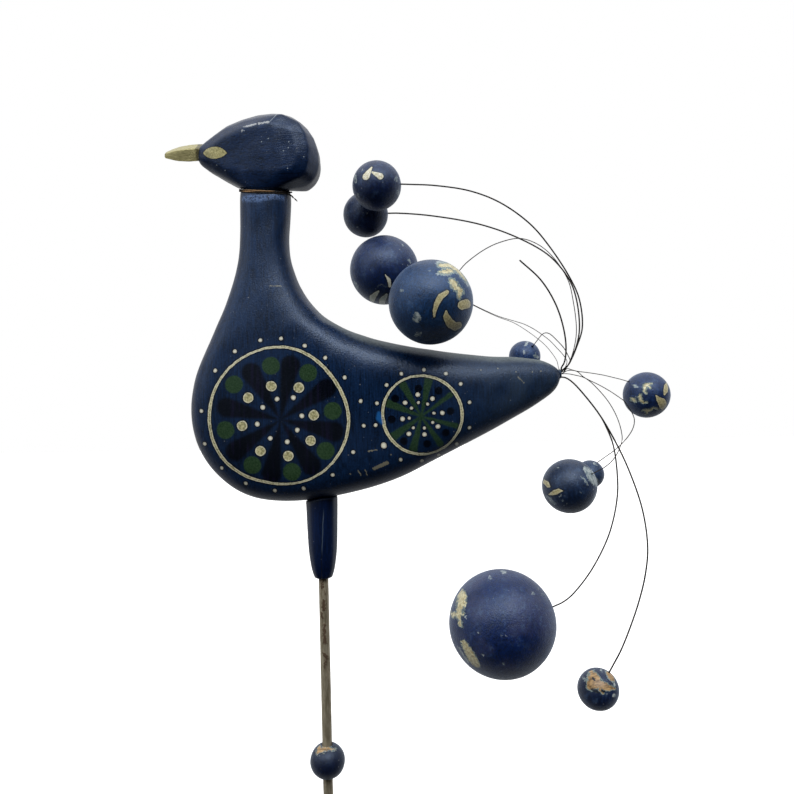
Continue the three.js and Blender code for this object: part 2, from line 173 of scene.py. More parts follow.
# %% The Finish class
class Finish:
    """One material, or the world: its node tree and short ways to fill it."""

    def __init__(self, owner):
        self.owner = owner
        owner.use_nodes = True
        self.tree = owner.node_tree
        self.tree.nodes.clear()

    def node(self, kind, inputs=None, out=0, **settings):
        """Adds a node, sets it up, then fills its sockets with numbers, colours or signals."""
        node = self.tree.nodes.new("ShaderNode" + kind)
        for name, value in settings.items():
            setattr(node, name, value)
        for name, value in (inputs or {}).items():
            if isinstance(value, Signal):
                self.tree.links.new(value.socket, node.inputs[name])
            else:
                node.inputs[name].default_value = value
        return Signal(self, node.outputs[out])

    def place(self, centre=(0, 0, 0), stretch=(1, 1, 1)):
        """Object coordinates in millimetres, from a centre, squeezed by stretch."""
        where = self.node("TexCoord", out="Object")
        scale = tuple(s / MM for s in stretch)
        shift = tuple(-c * s for c, s in zip(centre, stretch))
        return self.node("Mapping", {"Vector": where, "Location": shift, "Scale": scale})

    def noise(self, where, scale, detail=2.0, roughness=0.5, out=0):
        sockets = {"Vector": where, "Scale": scale, "Detail": detail, "Roughness": roughness}
        return self.node("TexNoise", sockets, out)

    def vector(self, operation, *values, out=0):
        return self.node("VectorMath", dict(enumerate(values)), out, operation=operation)

    def wobble(self, where, scale, reach):
        """The coordinates, pushed about by noise, up to about half of reach."""
        push = self.vector("SUBTRACT", self.noise(where, scale, out="Color"), (0.5, 0.5, 0.5))
        return self.vector("MULTIPLY_ADD", push, (reach,) * 3, where)

    def flat(self, where, scale, reach):
        """The same without their y, to draw on the sides of a piece."""
        return self.vector("MULTIPLY", self.wobble(where, scale, reach), (1, 0, 1))

    def axis(self, where, name):
        """One of the three coordinates."""
        return self.node("SeparateXYZ", {0: where}, out=name)

    def specks(self, where, scale, size, share):
        """1 inside small round specks. Share tells how many of the cells of noise have one."""
        far = self.node("TexVoronoi", {"Vector": where, "Scale": scale}, out="Distance")
        chance = self.node("SeparateColor", {0: far.sibling("Color")})
        return far.fade(size, size * 0.4) * (chance > 1 - share)

    def mix(self, share, first, second):
        """The first colour where share is 0 and the second where it is 1."""
        first, second = ((*c, 1) if isinstance(c, tuple) else c for c in (first, second))
        return self.node("Mix", {0: share, 6: first, 7: second}, out=2, data_type="RGBA")

    def blend(self, share, first, second):
        """The same for plain numbers."""
        return self.node("Mix", {0: share, 2: first, 3: second}, data_type="FLOAT")

    def surface(self, inputs, height=None, depth=0):
        """Ends the material in a Principled shader. Height, in millimetres, becomes its bump."""
        sockets = dict(inputs)
        if height is not None:
            bump = {"Height": height, "Distance": depth * MM, "Strength": 1.0}
            sockets["Normal"] = self.node("Bump", bump)
        self.end_in(self.node("BsdfPrincipled", sockets))
        return self.owner

    def end_in(self, shader):
        """Makes the shader what the material, or the world, shows."""
        kind = "OutputWorld" if isinstance(self.owner, bpy.types.World) else "OutputMaterial"
        end = self.tree.nodes.new("ShaderNode" + kind)
        self.tree.links.new(shader.socket, end.inputs["Surface"])


def new_finish(name):
    return Finish(bpy.data.materials.new(name))


# %% [markdown]
# ## The studio
#
# The photographed piece lies on a bright white table, so its edges mirror white from behind. In front,
# towards the camera and below it, the room is dark, and soft light comes from the top of the picture.
# The world repeats this: it is plain white to the camera, and lights the piece by direction.

# %% World
studio = Finish(bpy.data.worlds.new("studio"))
bpy.context.scene.world = studio.owner
bpy.context.scene.view_settings.view_transform = "Standard"
towards = studio.node("TexCoord", out="Generated")


def facing(x, y, z):
    """1 in one direction, 0 square to it and -1 opposite."""
    direction = tuple(Vector((x, y, z)).normalized())
    return studio.vector("DOT_PRODUCT", towards, direction, out="Value")


upward = facing(0, 0, 1)
white_table = facing(0, 1, 0).fade(-0.05, 0.2) * (upward * 0.22 + 0.56)
ceiling = upward.fade(0.2, 0.75) * 1.2
doorway = facing(-0.85, -0.4, 0.35).fade(0.6, 1.0) * 0.35
lit = white_table.most(ceiling + doorway + 0.003)
seen = studio.node("LightPath", out="Is Camera Ray")
strength = studio.blend(seen, lit, 1.0)
studio.end_in(studio.node("Background", {"Color": (1, 1, 1, 1), "Strength": strength}))

# %% Lights
LIGHTS_AIM = Vector((0.03, 0, 0.29))


def soft_light(name, place, width, height, watts):
    """A rectangle of light that faces the bird. Its place and size are in metres."""
    light = bpy.data.lights.new(name, "AREA")
    light.shape = "RECTANGLE"
    light.size = width
    light.size_y = height
    light.energy = watts
    lamp = add_object(name, light)
    lamp.location = place
    lamp.rotation_mode = "QUATERNION"
    lamp.rotation_quaternion = (LIGHTS_AIM - Vector(place)).to_track_quat("-Z", "Y")


soft_light("window", (0.15, -0.80, 1.16), width=1.1, height=0.34, watts=7.6)
soft_light("left_light", (-1.0, -0.5, 0.7), width=0.5, height=0.5, watts=1.0)
print("lights:", len(bpy.data.lights))

# %% Floor
FLOOR_REACH = 4
bm = bmesh.new()
bmesh.ops.create_grid(bm, x_segments=2, y_segments=2, size=FLOOR_REACH)
floor = mesh_object("floor", bm)
floor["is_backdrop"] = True
# The bird doesn't mirror the floor, because the photographed one lay with dark room below its chin.
floor.visible_glossy = False
floor.visible_diffuse = False
paper = new_finish("paper_floor")
fibre = paper.noise(paper.place(), 0.02)
floor.data.materials.append(paper.surface(
    {"Base Color": paper.mix(fibre, (0.93, 0.93, 0.93), (0.97, 0.97, 0.97)), "Roughness": 0.9,
     "Emission Color": (1, 1, 1, 1), "Emission Strength": 0.45}))

# %% [markdown]
# ## Turning a worked mesh into a piece
#
# Each piece is worked in a bmesh, in millimetres. When it is done it is scaled to metres, so its object
# needs no place, turn or scale of its own, and it rides on the one body and takes over its CAD node.
# Most pieces are lofts. One ring of vertices is extruded from step to step, and every vertex keeps its
# angle on the ring in a layer, so a function of the angle can say where it goes.


# %% Helpers for pieces
def into_piece(bm, name, node, material, sharp_above=None):
    """Makes the object of a worked bmesh and hands it to the frame. Sharp_above is in degrees."""
    bmesh.ops.recalc_face_normals(bm, faces=bm.faces)
    bmesh.ops.scale(bm, vec=(MM,) * 3, verts=bm.verts)
    for face in bm.faces:
        face.smooth = True
    for edge in bm.edges:
        if sharp_above is not None and len(edge.link_faces) == 2:
            edge.smooth = edge.calc_face_angle() < math.radians(sharp_above)
    piece = mesh_object(name, bm)
    piece.data.materials.append(material)
    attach(piece, "root")
    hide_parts(node)
    print(name, "has", len(piece.data.polygons), "faces")
    return piece


def subdivide_once(piece):
    finer = piece.modifiers.new("finer", "SUBSURF")
    finer.levels = finer.render_levels = 1


def round_point(angle, z, radius):
    """A point of a round bar on the rod's axis."""
    return Vector((radius * math.cos(angle), radius * math.sin(angle), z))


def extruded(bm, edges):
    """Extrudes a ring. Gives the vertices and edges of the new ring."""
    grown = bmesh.ops.extrude_edge_only(bm, edges=edges)["geom"]
    verts = [v for v in grown if isinstance(v, bmesh.types.BMVert)]
    return verts, [e for e in grown if isinstance(e, bmesh.types.BMEdge)]


def close_ring(bm, edges):
    """Fills the ring with one face and pokes it, which puts a vertex in its middle."""
    face = bmesh.ops.contextual_create(bm, geom=edges)["faces"]
    bmesh.ops.poke(bm, faces=face)


def loft(sides, *runs):
    """A closed mesh over rings. A run is (place, steps), and place(angle, *step) is a point of a ring."""
    rings = [(place, step) for place, steps in runs for step in steps]
    bm = bmesh.new()
    angle_of = bm.verts.layers.float.new("angle")
    circle = bmesh.ops.create_circle(bm, segments=sides, radius=1)["verts"]
    place, step = rings[0]
    for v in circle:
        v[angle_of] = math.atan2(v.co.y, v.co.x)
        v.co = place(v[angle_of], *step)
    edges = bm.edges[:]
    close_ring(bm, edges)
    for place, step in rings[1:]:
        verts, edges = extruded(bm, edges)
        for v in verts:
            v.co = place(v[angle_of], *step)
    close_ring(bm, edges)
    bmesh.ops.recalc_face_normals(bm, faces=bm.faces)
    return bm


def slice_off(bm, place, outwards):
    """Cuts away what lies beyond a plane."""
    bmesh.ops.bisect_plane(bm, geom=bm.verts[:] + bm.edges[:] + bm.faces[:], plane_co=place,
                           plane_no=outwards, clear_outer=True)


def bend(value, power):
    """One coordinate of a superellipse: a circle that is pressed towards a square."""
    return math.copysign(abs(value) ** power, value)


def uneven(bm, verts, reach, size, seed):
    """Pushes vertices in and out along their normals by smooth noise, as a hand-worked surface is."""
    bm.normal_update()
    for v in verts:
        v.co += v.normal * reach * noise.noise(v.co / size + Vector((seed, 0, 0)))


# %% [markdown]
# ## The body
#
# The body was sawn from a board and rounded over with a knife and sandpaper: neck, belly and tail in
# one. It is drawn here as a loft. Stations run from the neck's top to the tail's tip; each is a line
# across the board, with the thickness there and how square the section is.

# %% Body stations
# [outer x, outer z, inner x, inner z, half the thickness, squareness]
BODY_STATIONS = [
    [-36.4, 396.5, -12.8, 395.0, 11.0, 2.5], [-37.2, 391.5, -12.2, 391.3, 11.9, 2.8],
    [-37.4, 375.0, -12.9, 380.0, 12.0, 2.8], [-39.3, 356.0, -13.7, 369.0, 12.8, 2.8],
    [-45.5, 337.0, -12.6, 359.5, 14.2, 3.3], [-53.5, 319.0, -9.6, 349.7, 15.8, 3.9],
    [-60.3, 303.0, -5.0, 341.2, 17.0, 5.0], [-63.2, 286.6, 1.2, 333.6, 17.8, 5.6],
    [-61.0, 270.5, 9.0, 328.1, 18.0, 5.8], [-52.5, 255.7, 18.0, 323.5, 18.0, 5.8],
    [-37.5, 244.0, 29.5, 319.6, 18.0, 5.8], [-16.4, 240.2, 43.0, 316.4, 18.0, 5.8],
    [10.0, 242.9, 57.0, 313.9, 17.5, 4.6], [36.1, 249.6, 71.0, 311.7, 16.5, 3.5],
    [62.2, 261.8, 85.0, 310.2, 14.8, 2.8], [88.5, 274.9, 98.0, 309.4, 11.8, 2.4],
    [107.8, 285.6, 109.8, 307.8, 8.6, 2.3], [117.5, 292.6, 117.6, 304.3, 6.0, 2.4],
    [121.0, 300.5, 121.0, 300.5, 0.0, 2.2],
]
LAST_STATION = len(BODY_STATIONS) - 1
DEPTH_POWER = 2.2
NECK_SLANT = 0.286
# The slant fades over the first spans, and the thickness rounds off over the last part of a span.
SLANT_SPANS = 2
TIP_SPANS = 0.5
TAIL_HOLE_FROM = 111
TAIL_HOLE_Z = 300.6
TAIL_HOLE_RADIUS = 2.2


def through(points, at):
    """A smooth (Catmull-Rom) curve through the points, at a number of spans from the first."""
    i = min(int(at), len(points) - 2)
    t = at - i
    a, b, c, d = (Vector(points[min(max(j, 0), len(points) - 1)]) for j in range(i - 1, i + 3))
    return b + 0.5 * t * ((c - a) + t * ((2 * a - 5 * b + 4 * c - d) + t * (3 * b - a - 3 * c + d)))


def body_point(angle, at, share=1.0):
    """A point of the board's section at a station. Share draws it in towards the middle."""
    ox, oz, ix, iz, half, square = through(BODY_STATIONS, at)
    tip = min(1, (LAST_STATION - at) / TIP_SPANS)
    thick = max(half, 0) * math.sqrt(1 - (1 - tip) ** 2)
    across = share * bend(math.cos(angle), 2 / square)
    deep = share * thick * bend(math.sin(angle), 2 / DEPTH_POWER)
    slant = NECK_SLANT * deep * max(0, 1 - at / SLANT_SPANS)
    return Vector(((ox + ix) / 2 + (ix - ox) / 2 * across, deep,
                   (oz + iz) / 2 + (iz - oz) / 2 * across + slant))


def tail_hole_point(angle, x, radius):
    return Vector((x, radius * math.sin(angle), TAIL_HOLE_Z + radius * math.cos(angle)))


# %% Loft the body
BODY_SIDES = 72
RINGS_PER_STATION = 4
TAIL_END = 17.8
# The rings of the neck's top, as (station, share), leave a crisp and slightly worn edge.
NECK_TOP = [(0, 0.5), (0, 0.85), (0, 0.955), (0.02, 1), (0.08, 1)]
ALONG = [(k / RINGS_PER_STATION, 1) for k in range(1, (LAST_STATION - 1) * RINGS_PER_STATION + 2)]
TIP_X = body_point(0, TAIL_END).x
TAIL_HOLE = [(TIP_X + 0.3, TAIL_HOLE_RADIUS + 0.25), (TIP_X, TAIL_HOLE_RADIUS),
             (TAIL_HOLE_FROM, TAIL_HOLE_RADIUS)]
# The knife left the neck's top and the rim of the tail's hole even.
UNEVEN_TO_X = TIP_X - 3
UNEVEN_TO_Z = 391

bm = loft(BODY_SIDES, (body_point, NECK_TOP + ALONG + [(17.55, 1), (TAIL_END, 1)]),
          (tail_hole_point, TAIL_HOLE))
uneven(bm, [v for v in bm.verts if v.co.x < UNEVEN_TO_X and v.co.z < UNEVEN_TO_Z],
       reach=0.22, size=9, seed=3)
body_shape = BVHTree.FromBMesh(bm)
print("body stations:", len(BODY_STATIONS), "volume in cm3:", round(bm.calc_volume() / 1000, 1))

# %% [markdown]
# ## The paint
#
# The blue is a thin satin paint. Long brush strokes run along the wood's grain, so its colour is a
# noise that is stretched along Z. Dust and small knocks show as pale specks. The same recipe, with
# other numbers, paints body, head, leg and balls.


# %% Blue paint
def shade(red, green, blue):
    """A colour as a picture editor gives it, from 0 to 255, as the light values that shaders use."""
    return tuple((c / 255 / 12.92) if c < 11 else ((c / 255 + 0.055) / 1.055) ** 2.4
                 for c in (red, green, blue))


NAVY = shade(13, 33, 62)
BLACK = shade(1, 2, 7)
# Dust, and a painted highlight, on the back's upward edge.
DUST_AND_TOP_HIGHLIGHT = shade(118, 126, 122)
CREAM = shade(240, 238, 215)
GOLD = shade(206, 200, 154)
GOLD_DARK = shade(138, 134, 94)
PRIMER = shade(140, 158, 152)
# Light that the satin paint throws back is a little blue, as the sky in the window was.
SHEEN_TINT = (0.62, 0.76, 1.0, 1)
# Added to a distance, this takes a mark off a side that it isn't painted on.
FAR_AWAY = 99


def blue_paint(finish, where, grain_where, base, dust=0.5):
    """Colour and relief of the brushed blue paint, and two of the noises behind it."""
    grain = finish.noise(grain_where, 0.7, 4, 0.6)
    fibres = finish.noise(grain_where, 1.9, 2, 0.6)
    clouds = finish.noise(where, 0.07, 4, 0.55)
    mottle = finish.noise(where, 1.3, 4, 0.65)
    tone = (grain.fade(0.32, 0.68) * 0.2 + fibres.fade(0.36, 0.64) * 0.35
            + clouds.fade(0.3, 0.7) * 0.2 + mottle.fade(0.35, 0.65) * 0.25)
    colour = finish.mix(tone, tuple(c * 0.1 for c in base), tuple(c * 2.0 for c in base))
    dots = finish.specks(where, 0.32, 0.13, 0.22).most(finish.specks(where, 0.8, 0.2, 0.08)) * dust
    colour = finish.mix(dots * clouds.fade(0.35, 0.6), colour, shade(150, 155, 160))
    return colour, grain * 0.4 + fibres * 0.2 + mottle * 0.4, clouds, grain


def nearest(finish, flat, points, radius):
    """Distance in millimetres outside the nearest of some round dots (x, z), all of one radius."""
    return reduce(Signal.least, (
        finish.vector("DISTANCE", flat, (x, 0, z), out="Value") for x, z in points)) - radius


def stroke(finish, flat, start, end):
    """Distance outside a brush stroke. Its ends are (x, z, radius)."""
    line = Vector((end[0] - start[0], 0, end[1] - start[1]))
    local = finish.vector("SUBTRACT", flat, (start[0], 0, start[1]))
    slope = tuple(line / line.length_squared)
    along = finish.vector("DOT_PRODUCT", local, slope, out="Value").most(0.0).least(1.0)
    foot = finish.node("VectorMath", {0: tuple(line), 3: along}, operation="SCALE")
    far = finish.vector("DISTANCE", local, foot, out="Value")
    return far - (along * (end[2] - start[2]) + start[2])


def strokes(finish, flat, paths):
    """Distance outside the nearest of some paths. A path is a row of (x, z, radius)."""
    pairs = [pair for path in paths for pair in zip(path, path[1:])]
    return reduce(Signal.least, (stroke(finish, flat, *pair) for pair in pairs))


def painted(finish, colour, distance, paint, soft=0.12, outline=0.8):
    """Lays paint where the distance is below 0, with a thin dark line of shadow round it."""
    colour = finish.mix(distance.fade(outline, outline * 0.3) * 0.85, colour, BLACK)
    return finish.mix(distance.fade(soft, -soft), colour, paint)


def gold_paint(finish, where, distance, dark=GOLD_DARK, light=GOLD, pale=0.8):
    """Gold, yellower inside, with a pale rim round each dab where it lies thickest: a painted highlight.
    """
    mottle = finish.noise(where, 1.1, 3, 0.6)
    yellow = finish.mix(mottle.fade(0.35, 0.65), dark, light)
    # The pale rim is a painted highlight.
    rim_highlight = distance.fade(-0.65, -0.1) * mottle.fade(0.2, 0.55)
    return finish.mix(rim_highlight * pale, yellow, CREAM)


# %% [markdown]
# ## Rings and dots
#
# Two roundels are painted on the side of the body. Each is a gold ring with a fan of petals, rings of
# dots inside, and a loose ring of small dots outside. They were dabbed on by hand, so no ring of dots
# is regular. Every dot therefore has its own place (x, z) here, in millimetres on the board. A ring's
# radius wavers with its angle. A stroke, such as a petal or a scuff, goes through points (x, z, radius).

# %% Where the dots are
BIG_CENTRE = (-17.95, 282.58)
# centre, radius, width, and how it wavers as (times round, reach, phase in degrees)
RINGS = [
    (BIG_CENTRE, 32.93, 1.3, [(2, 0.45, -57), (3, 0.6, -97), (5, 0.2, 10)]),
    ((50.63, 281.96), 18.95, 1.25, [(2, 0.22, -65), (3, 0.1, 26)]),
]
# name: (radius of the dots, their places)
DOTS = {
    "green": (4.3, [(-20.9, 307.0), (-3.3, 303.3), (8.0, 284.9), (4.2, 266.0), (-12.1, 256.3),
        (-30.9, 259.9), (-43.3, 276.9), (-38.7, 298.5)]),
    "gold": (2.42, [(-21.0, 297.3), (-7.9, 296.3), (-1.1, 283.1), (-2.8, 271.0), (-13.6, 263.9),
        (-26.8, 266.6), (-35.2, 278.8), (-32.1, 292.1)]),
    "inner": (1.12, [(-18.4, 291.1), (-10.6, 291.6), (-6.7, 282.9), (-9.0, 276.2), (-13.9, 270.7),
        (-22.0, 272.6), (-28.0, 279.4), (-25.2, 287.4)]),
    "small gold": (1.08, [(48.6, 291.8), (55.5, 289.7), (60.2, 282.7), (58.0, 276.3), (51.4, 272.7),
        (44.0, 273.1), (41.1, 280.4), (42.5, 288.0)]),
    "small inner": (0.72, [(48.9, 288.0), (53.2, 287.1), (56.2, 282.7), (55.5, 278.3), (51.5, 275.7),
        (46.1, 276.0), (44.4, 280.7), (45.5, 285.3)]),
    "small dark": (1.9, [(49.0, 294.7), (58.6, 293.3), (64.0, 283.5), (61.7, 273.3), (52.6, 268.1),
        (41.5, 269.7), (36.0, 280.2), (37.8, 290.1)]),
    "loose": (0.92, [(-15.9, 319.9), (-4.7, 316.2), (4.9, 310.2), (14.0, 300.7), (21.3, 289.3),
        (22.6, 277.5), (17.3, 265.1), (7.2, 254.4), (-6.9, 248.0), (-20.9, 247.2), (-34.8, 251.0),
        (-46.4, 258.5), (-54.2, 270.3), (-54.9, 286.2), (-47.6, 305.4), (-38.0, 314.3), (-25.8, 319.3),
        (41.0, 301.9), (51.8, 303.5), (62.4, 301.5), (69.3, 296.4), (73.4, 287.6), (73.3, 275.3),
        (67.2, 267.4), (58.6, 261.9), (50.0, 259.6), (39.8, 260.7), (28.2, 277.7), (29.1, 288.1),
        (33.9, 296.6)]),
    "large loose": (1.4, [(31.9, 267.9)]),
    "specks": (0.3, [(35.2, 263.3), (79.6, 303.1), (87.9, 303.5), (96.7, 301.8), (105.0, 301.6),
        (109.4, 302.0)]),
}
PETAL_MIDDLE = (50.1, 281.3, 0.5)
PETAL_TIPS = [(53.9, 298.6, 2.1), (64.2, 291.3, 1.3), (67.0, 276.3, 1.4), (59.1, 267.9, 1.7),
              (45.8, 265.1, 2.2), (36.0, 271.7, 2.3), (34.4, 288.0, 2.1), (41.7, 296.5, 1.9)]
WEDGE_MIDDLE = (-16.9, 281.3, 0.3)
WEDGE_ANGLES = [78.5, 33, -14, -57.5, -101, -146.5, 166, 120.5]
WEDGE_LENGTH = 26.2
WEDGE_END = 5.0
POLISH_CENTRE = (30, 320)
POLISH_RADIUS = 39
BODY_SCUFFS = [[(27.0, 256.8, 0.8), (33.2, 259.5, 0.9)], [(19.4, 256.0, 0.3), (20.7, 253.6, 0.25)],
               [(22.7, 256.4, 0.25), (23.6, 253.6, 0.2)], [(15.5, 254.7, 0.3), (15.7, 254.5, 0.3)],
               [(24.6, 265.4, 0.4), (28.6, 265.8, 0.15)], [(-21.0, 345.5, 0.2), (-15.8, 345.4, 0.15)],
               [(-44.7, 346.9, 0.1), (-43.5, 344.5, 0.15), (-41.4, 342.9, 0.1)],
               [(97.6, 299.3, 0.25), (100.5, 296.3, 0.15)]]
BLUE_SMUDGE = [[(29.9, 283.2, 0.7), (30.0, 281.0, 1.3), (31.2, 278.6, 0.5)]]
RUBBED_NECK = [[(-33.6, 389.0, 1.4), (-26.0, 388.4, 1.7), (-19.7, 389.4, 1.1), (-12.5, 389.0, 0.8)]]


# %% Body finish
def dots(finish, flat, *names):
    """Distance outside the nearest dot of the named kinds."""
    return reduce(Signal.least, (
        nearest(finish, flat, places, radius) for radius, places in (DOTS[name] for name in names)))


def ring_line(finish, flat, centre, radius, width, waver):
    """Distance outside a painted ring."""
    local = finish.vector("SUBTRACT", flat, (centre[0], 0, centre[1]))
    far = finish.vector("LENGTH", local, out="Value")
    across, height = finish.axis(local, "X"), finish.axis(local, "Z")
    angle = across.math("ARCTAN2", height, across)
    for times, reach, phase in waver:
        far = far - (angle * times - math.radians(phase)).cosine() * reach
    wide = (angle * 2 - 0.9).cosine() * (width * 0.22) + width
    return (far - radius).size() - wide / 2


def body_finish():
    finish = new_finish("painted_body")
    where = finish.place()
    colour, height, clouds, grain = blue_paint(finish, where, finish.place(stretch=(1, 1, 0.05)), NAVY)
    depth = finish.axis(where, "Y")
    off_front = depth.fade(-7.5, -6.0) * FAR_AWAY
    off_sides = depth.size().fade(7.5, 6.0) * FAR_AWAY
    flat = finish.flat(where, 0.35, 0.7)
    # Inside the big ring the blue is a coat darker, more so towards the bottom.
    inside = nearest(finish, flat, [BIG_CENTRE], RINGS[0][1]) + off_sides
    low = finish.axis(where, "Z").fade(300.0, 262.0)
    colour = finish.mix(inside.fade(0.57, -1.43) * (low * 0.2 + 0.05), colour, BLACK)
    # Petals lie under everything else. The near-black ones show the brush, in a breath of purple.
    wedges = []
    for angle in map(math.radians, WEDGE_ANGLES):
        x = WEDGE_MIDDLE[0] + WEDGE_LENGTH * math.cos(angle)
        z = WEDGE_MIDDLE[1] + WEDGE_LENGTH * math.sin(angle)
        wedges.append([WEDGE_MIDDLE, (x, z, WEDGE_END)])
    dark = strokes(finish, flat, wedges) + off_sides
    purple = finish.mix(grain.fade(0.5, 0.7), BLACK, shade(16, 12, 34))
    colour = finish.mix(dark.fade(0.8, -1.2) * 0.95, colour, purple)
    brushed = finish.noise(where, 1.4, 4, 0.7).fade(0.3, 0.7)
    green = finish.mix(brushed, shade(24, 50, 24), shade(54, 78, 52))
    petals = strokes(finish, flat, [[PETAL_MIDDLE, tip] for tip in PETAL_TIPS]) + off_sides
    colour = finish.mix(petals.fade(0.4, -0.5) * 0.9, colour, green)
    dark = dots(finish, flat, "small dark") + off_sides
    colour = finish.mix(dark.fade(0.3, -0.3) * 0.93, colour, BLACK)
    dabs = dots(finish, flat, "green") + off_sides
    colour = finish.mix(dabs.fade(0.35, -0.45), colour, green)
    # Gold: rings and dots on both sides, the loose outer dots on the front only.
    gold = reduce(Signal.least, (ring_line(finish, flat, *ring) for ring in RINGS))
    gold = gold.least(dots(finish, flat, "gold")) + off_sides
    colour = painted(finish, colour, gold, gold_paint(finish, where, gold))
    # The small dots are single touches of the brush's tip, so they are pale all over.
    small = dots(finish, flat, "inner", "small gold", "small inner") + off_sides
    small = small.least(dots(finish, flat, "loose", "large loose") + off_front)
    pale = finish.mix(small.fade(-0.3, -0.7), shade(200, 198, 184), CREAM)
    colour = painted(finish, colour, small, pale)
    # Knocks and a smudge of a brighter blue.
    smudge = strokes(finish, flat, BLUE_SMUDGE) + off_front
    colour = finish.mix(smudge.fade(0.8, -0.6) * 0.7, colour, shade(34, 104, 176))
    rubbed = strokes(finish, flat, RUBBED_NECK) + off_front
    rubbed = rubbed.fade(1.2, -0.8) * finish.noise(where, 1.3, 5, 0.75).fade(0.4, 0.56)
    colour = finish.mix(rubbed * 0.85, colour, shade(92, 118, 164))
    scuffs = strokes(finish, finish.flat(where, 1.3, 1.3), BODY_SCUFFS)
    scuffs = scuffs.least(dots(finish, flat, "specks")) + off_front
    colour = finish.mix(scuffs.fade(0.2, -0.15) * 0.75, colour, shade(150, 146, 124))
    # Dust and fine scratches dull the tail.
    tail = finish.axis(where, "X").fade(60.0, 105.0)
    colour = finish.mix(tail * (clouds.fade(0.35, 0.65) * 0.2 + 0.1), colour, shade(74, 88, 100))
    # Along the back, where the board's edge faces up, it is painted paler: dust, and a painted highlight
    # of the light from above.
    above = finish.axis(finish.node("TexCoord", out="Normal"), "Z")
    dust = above.fade(0.6, 0.95) * (grain.fade(0.25, 0.75) * 0.55 + 0.3)
    colour = finish.mix(dust, colour, DUST_AND_TOP_HIGHLIGHT)
    # The back of the shoulder is polished by the hands that carried it.
    polish = nearest(finish, flat, [POLISH_CENTRE], POLISH_RADIUS).fade(13.0, -13.0)
    rough = finish.blend(polish, finish.blend(clouds, 0.31, 0.39), finish.blend(clouds, 0.17, 0.23))
    return finish.surface(
        {"Base Color": colour, "Roughness": finish.blend(dust, rough, 0.8),
         "Specular IOR Level": 0.45, "Specular Tint": SHEEN_TINT}, height, depth=0.3)


# %% Finish the body
subdivide_once(into_piece(bm, "carved_body", "body", body_finish()))

# %% [markdown]
# ## The head
#
# The head is an egg that was whittled into broad flat cuts, and it sits on the neck's slanted top. Its
# corners lie on four rings, and a convex hull gives the flat cuts between them. Real cuts meet in
# slightly worn edges. A fine voxel remesh and a little smoothing give those everywhere at once,
# where a bevel would have to cope with slivers.

# %% Head corners
HEAD_RIM = [
    (-58.0, 415.2), (-55.0, 418.3), (-48.8, 422.8), (-42.6, 427.2), (-36.0, 429.7), (-27.5, 431.9),
    (-19.7, 432.3), (-15.5, 431.9), (-10.2, 430.3), (-6.0, 427.5), (-2.4, 424.0), (0.5, 419.5),
    (2.4, 412.9), (2.9, 406.8), (2.4, 403.8), (1.5, 401.4), (0.2, 399.3), (-1.6, 397.4), (-3.6, 396.1),
    (-5.6, 395.3), (-9.8, 394.8), (-36.8, 396.5), (-45.1, 401.1), (-51.5, 404.9), (-56.4, 408.6),
    (-58.2, 411.8),
]
# Above, the knife left a ridge and one bright cut. Behind, it went round in a broad strip.
HEAD_SHOULDER = [
    (-56.2, 416.3), (-49.6, 421.1), (-42.4, 425.0), (-33.7, 427.6), (-24.1, 429.3), (-35.9, 397.4),
    (-47.5, 403.5), (-56.2, 410.4),
]
HEAD_BACK_STRIP = [
    (-14.1, 428.6), (-9.8, 426.5), (-6.1, 424.6), (-3.0, 419.8), (-1.6, 413.0), (-1.7, 406.2),
    (-3.4, 400.6), (-6.8, 397.6), (-11.5, 396.6),
]
HEAD_CHEEK = [
    (-51.6, 414.0), (-42.7, 419.2), (-32.0, 422.9), (-19.5, 423.8), (-9.7, 420.4), (-8.2, 416.0),
    (-7.2, 411.5), (-6.8, 407.0), (-7.6, 403.4), (-9.8, 401.0), (-14.0, 400.6), (-35.0, 401.8),
    (-47.1, 407.0),
]
# The rings, with the share of the head's half thickness at which their corners lie.
HEAD_RINGS = [(HEAD_RIM, 0.28), (HEAD_SHOULDER, 0.66), (HEAD_BACK_STRIP, 0.84), (HEAD_CHEEK, 1.0)]
HEAD_HALF_THICKNESS = 15.5
# From one x to the other the head narrows towards the beak, to this share.
NARROW_FROM, NARROW_TO, NARROW_SHARE = -14, -58, 0.42
# The flat under the head: the x of its middle, its half width and depth, and how high it sits.
SEAT_X, SEAT_HALF_WIDTH, SEAT_HALF_DEPTH, SEAT_HEIGHT = -24.6, 11.6, 10.8, 0.03
SEAT_CORNERS = 20
HEAD_VOXEL = 0.5
HEAD_SMOOTHING_PASSES = 14


def neck_top(x, y):
    """Height of the neck's slanted top over a point."""
    ox, oz, ix, iz = BODY_STATIONS[0][:4]
    return oz + (x - ox) * (iz - oz) / (ix - ox) + NECK_SLANT * y


def remeshed(bm, voxel):
    """The bmesh as a voxel remesh makes it. Blender has that as a modifier alone."""
    worker = mesh_object("working", bm)
    mesh = worker.data
    remesh = worker.modifiers.new("remesh", "REMESH")
    remesh.mode = "VOXEL"
    remesh.voxel_size = voxel
    bpy.context.view_layer.update()
    done = bmesh.new()
    done.from_object(worker, bpy.context.evaluated_depsgraph_get())
    bpy.data.objects.remove(worker)
    bpy.data.meshes.remove(mesh)
    return done


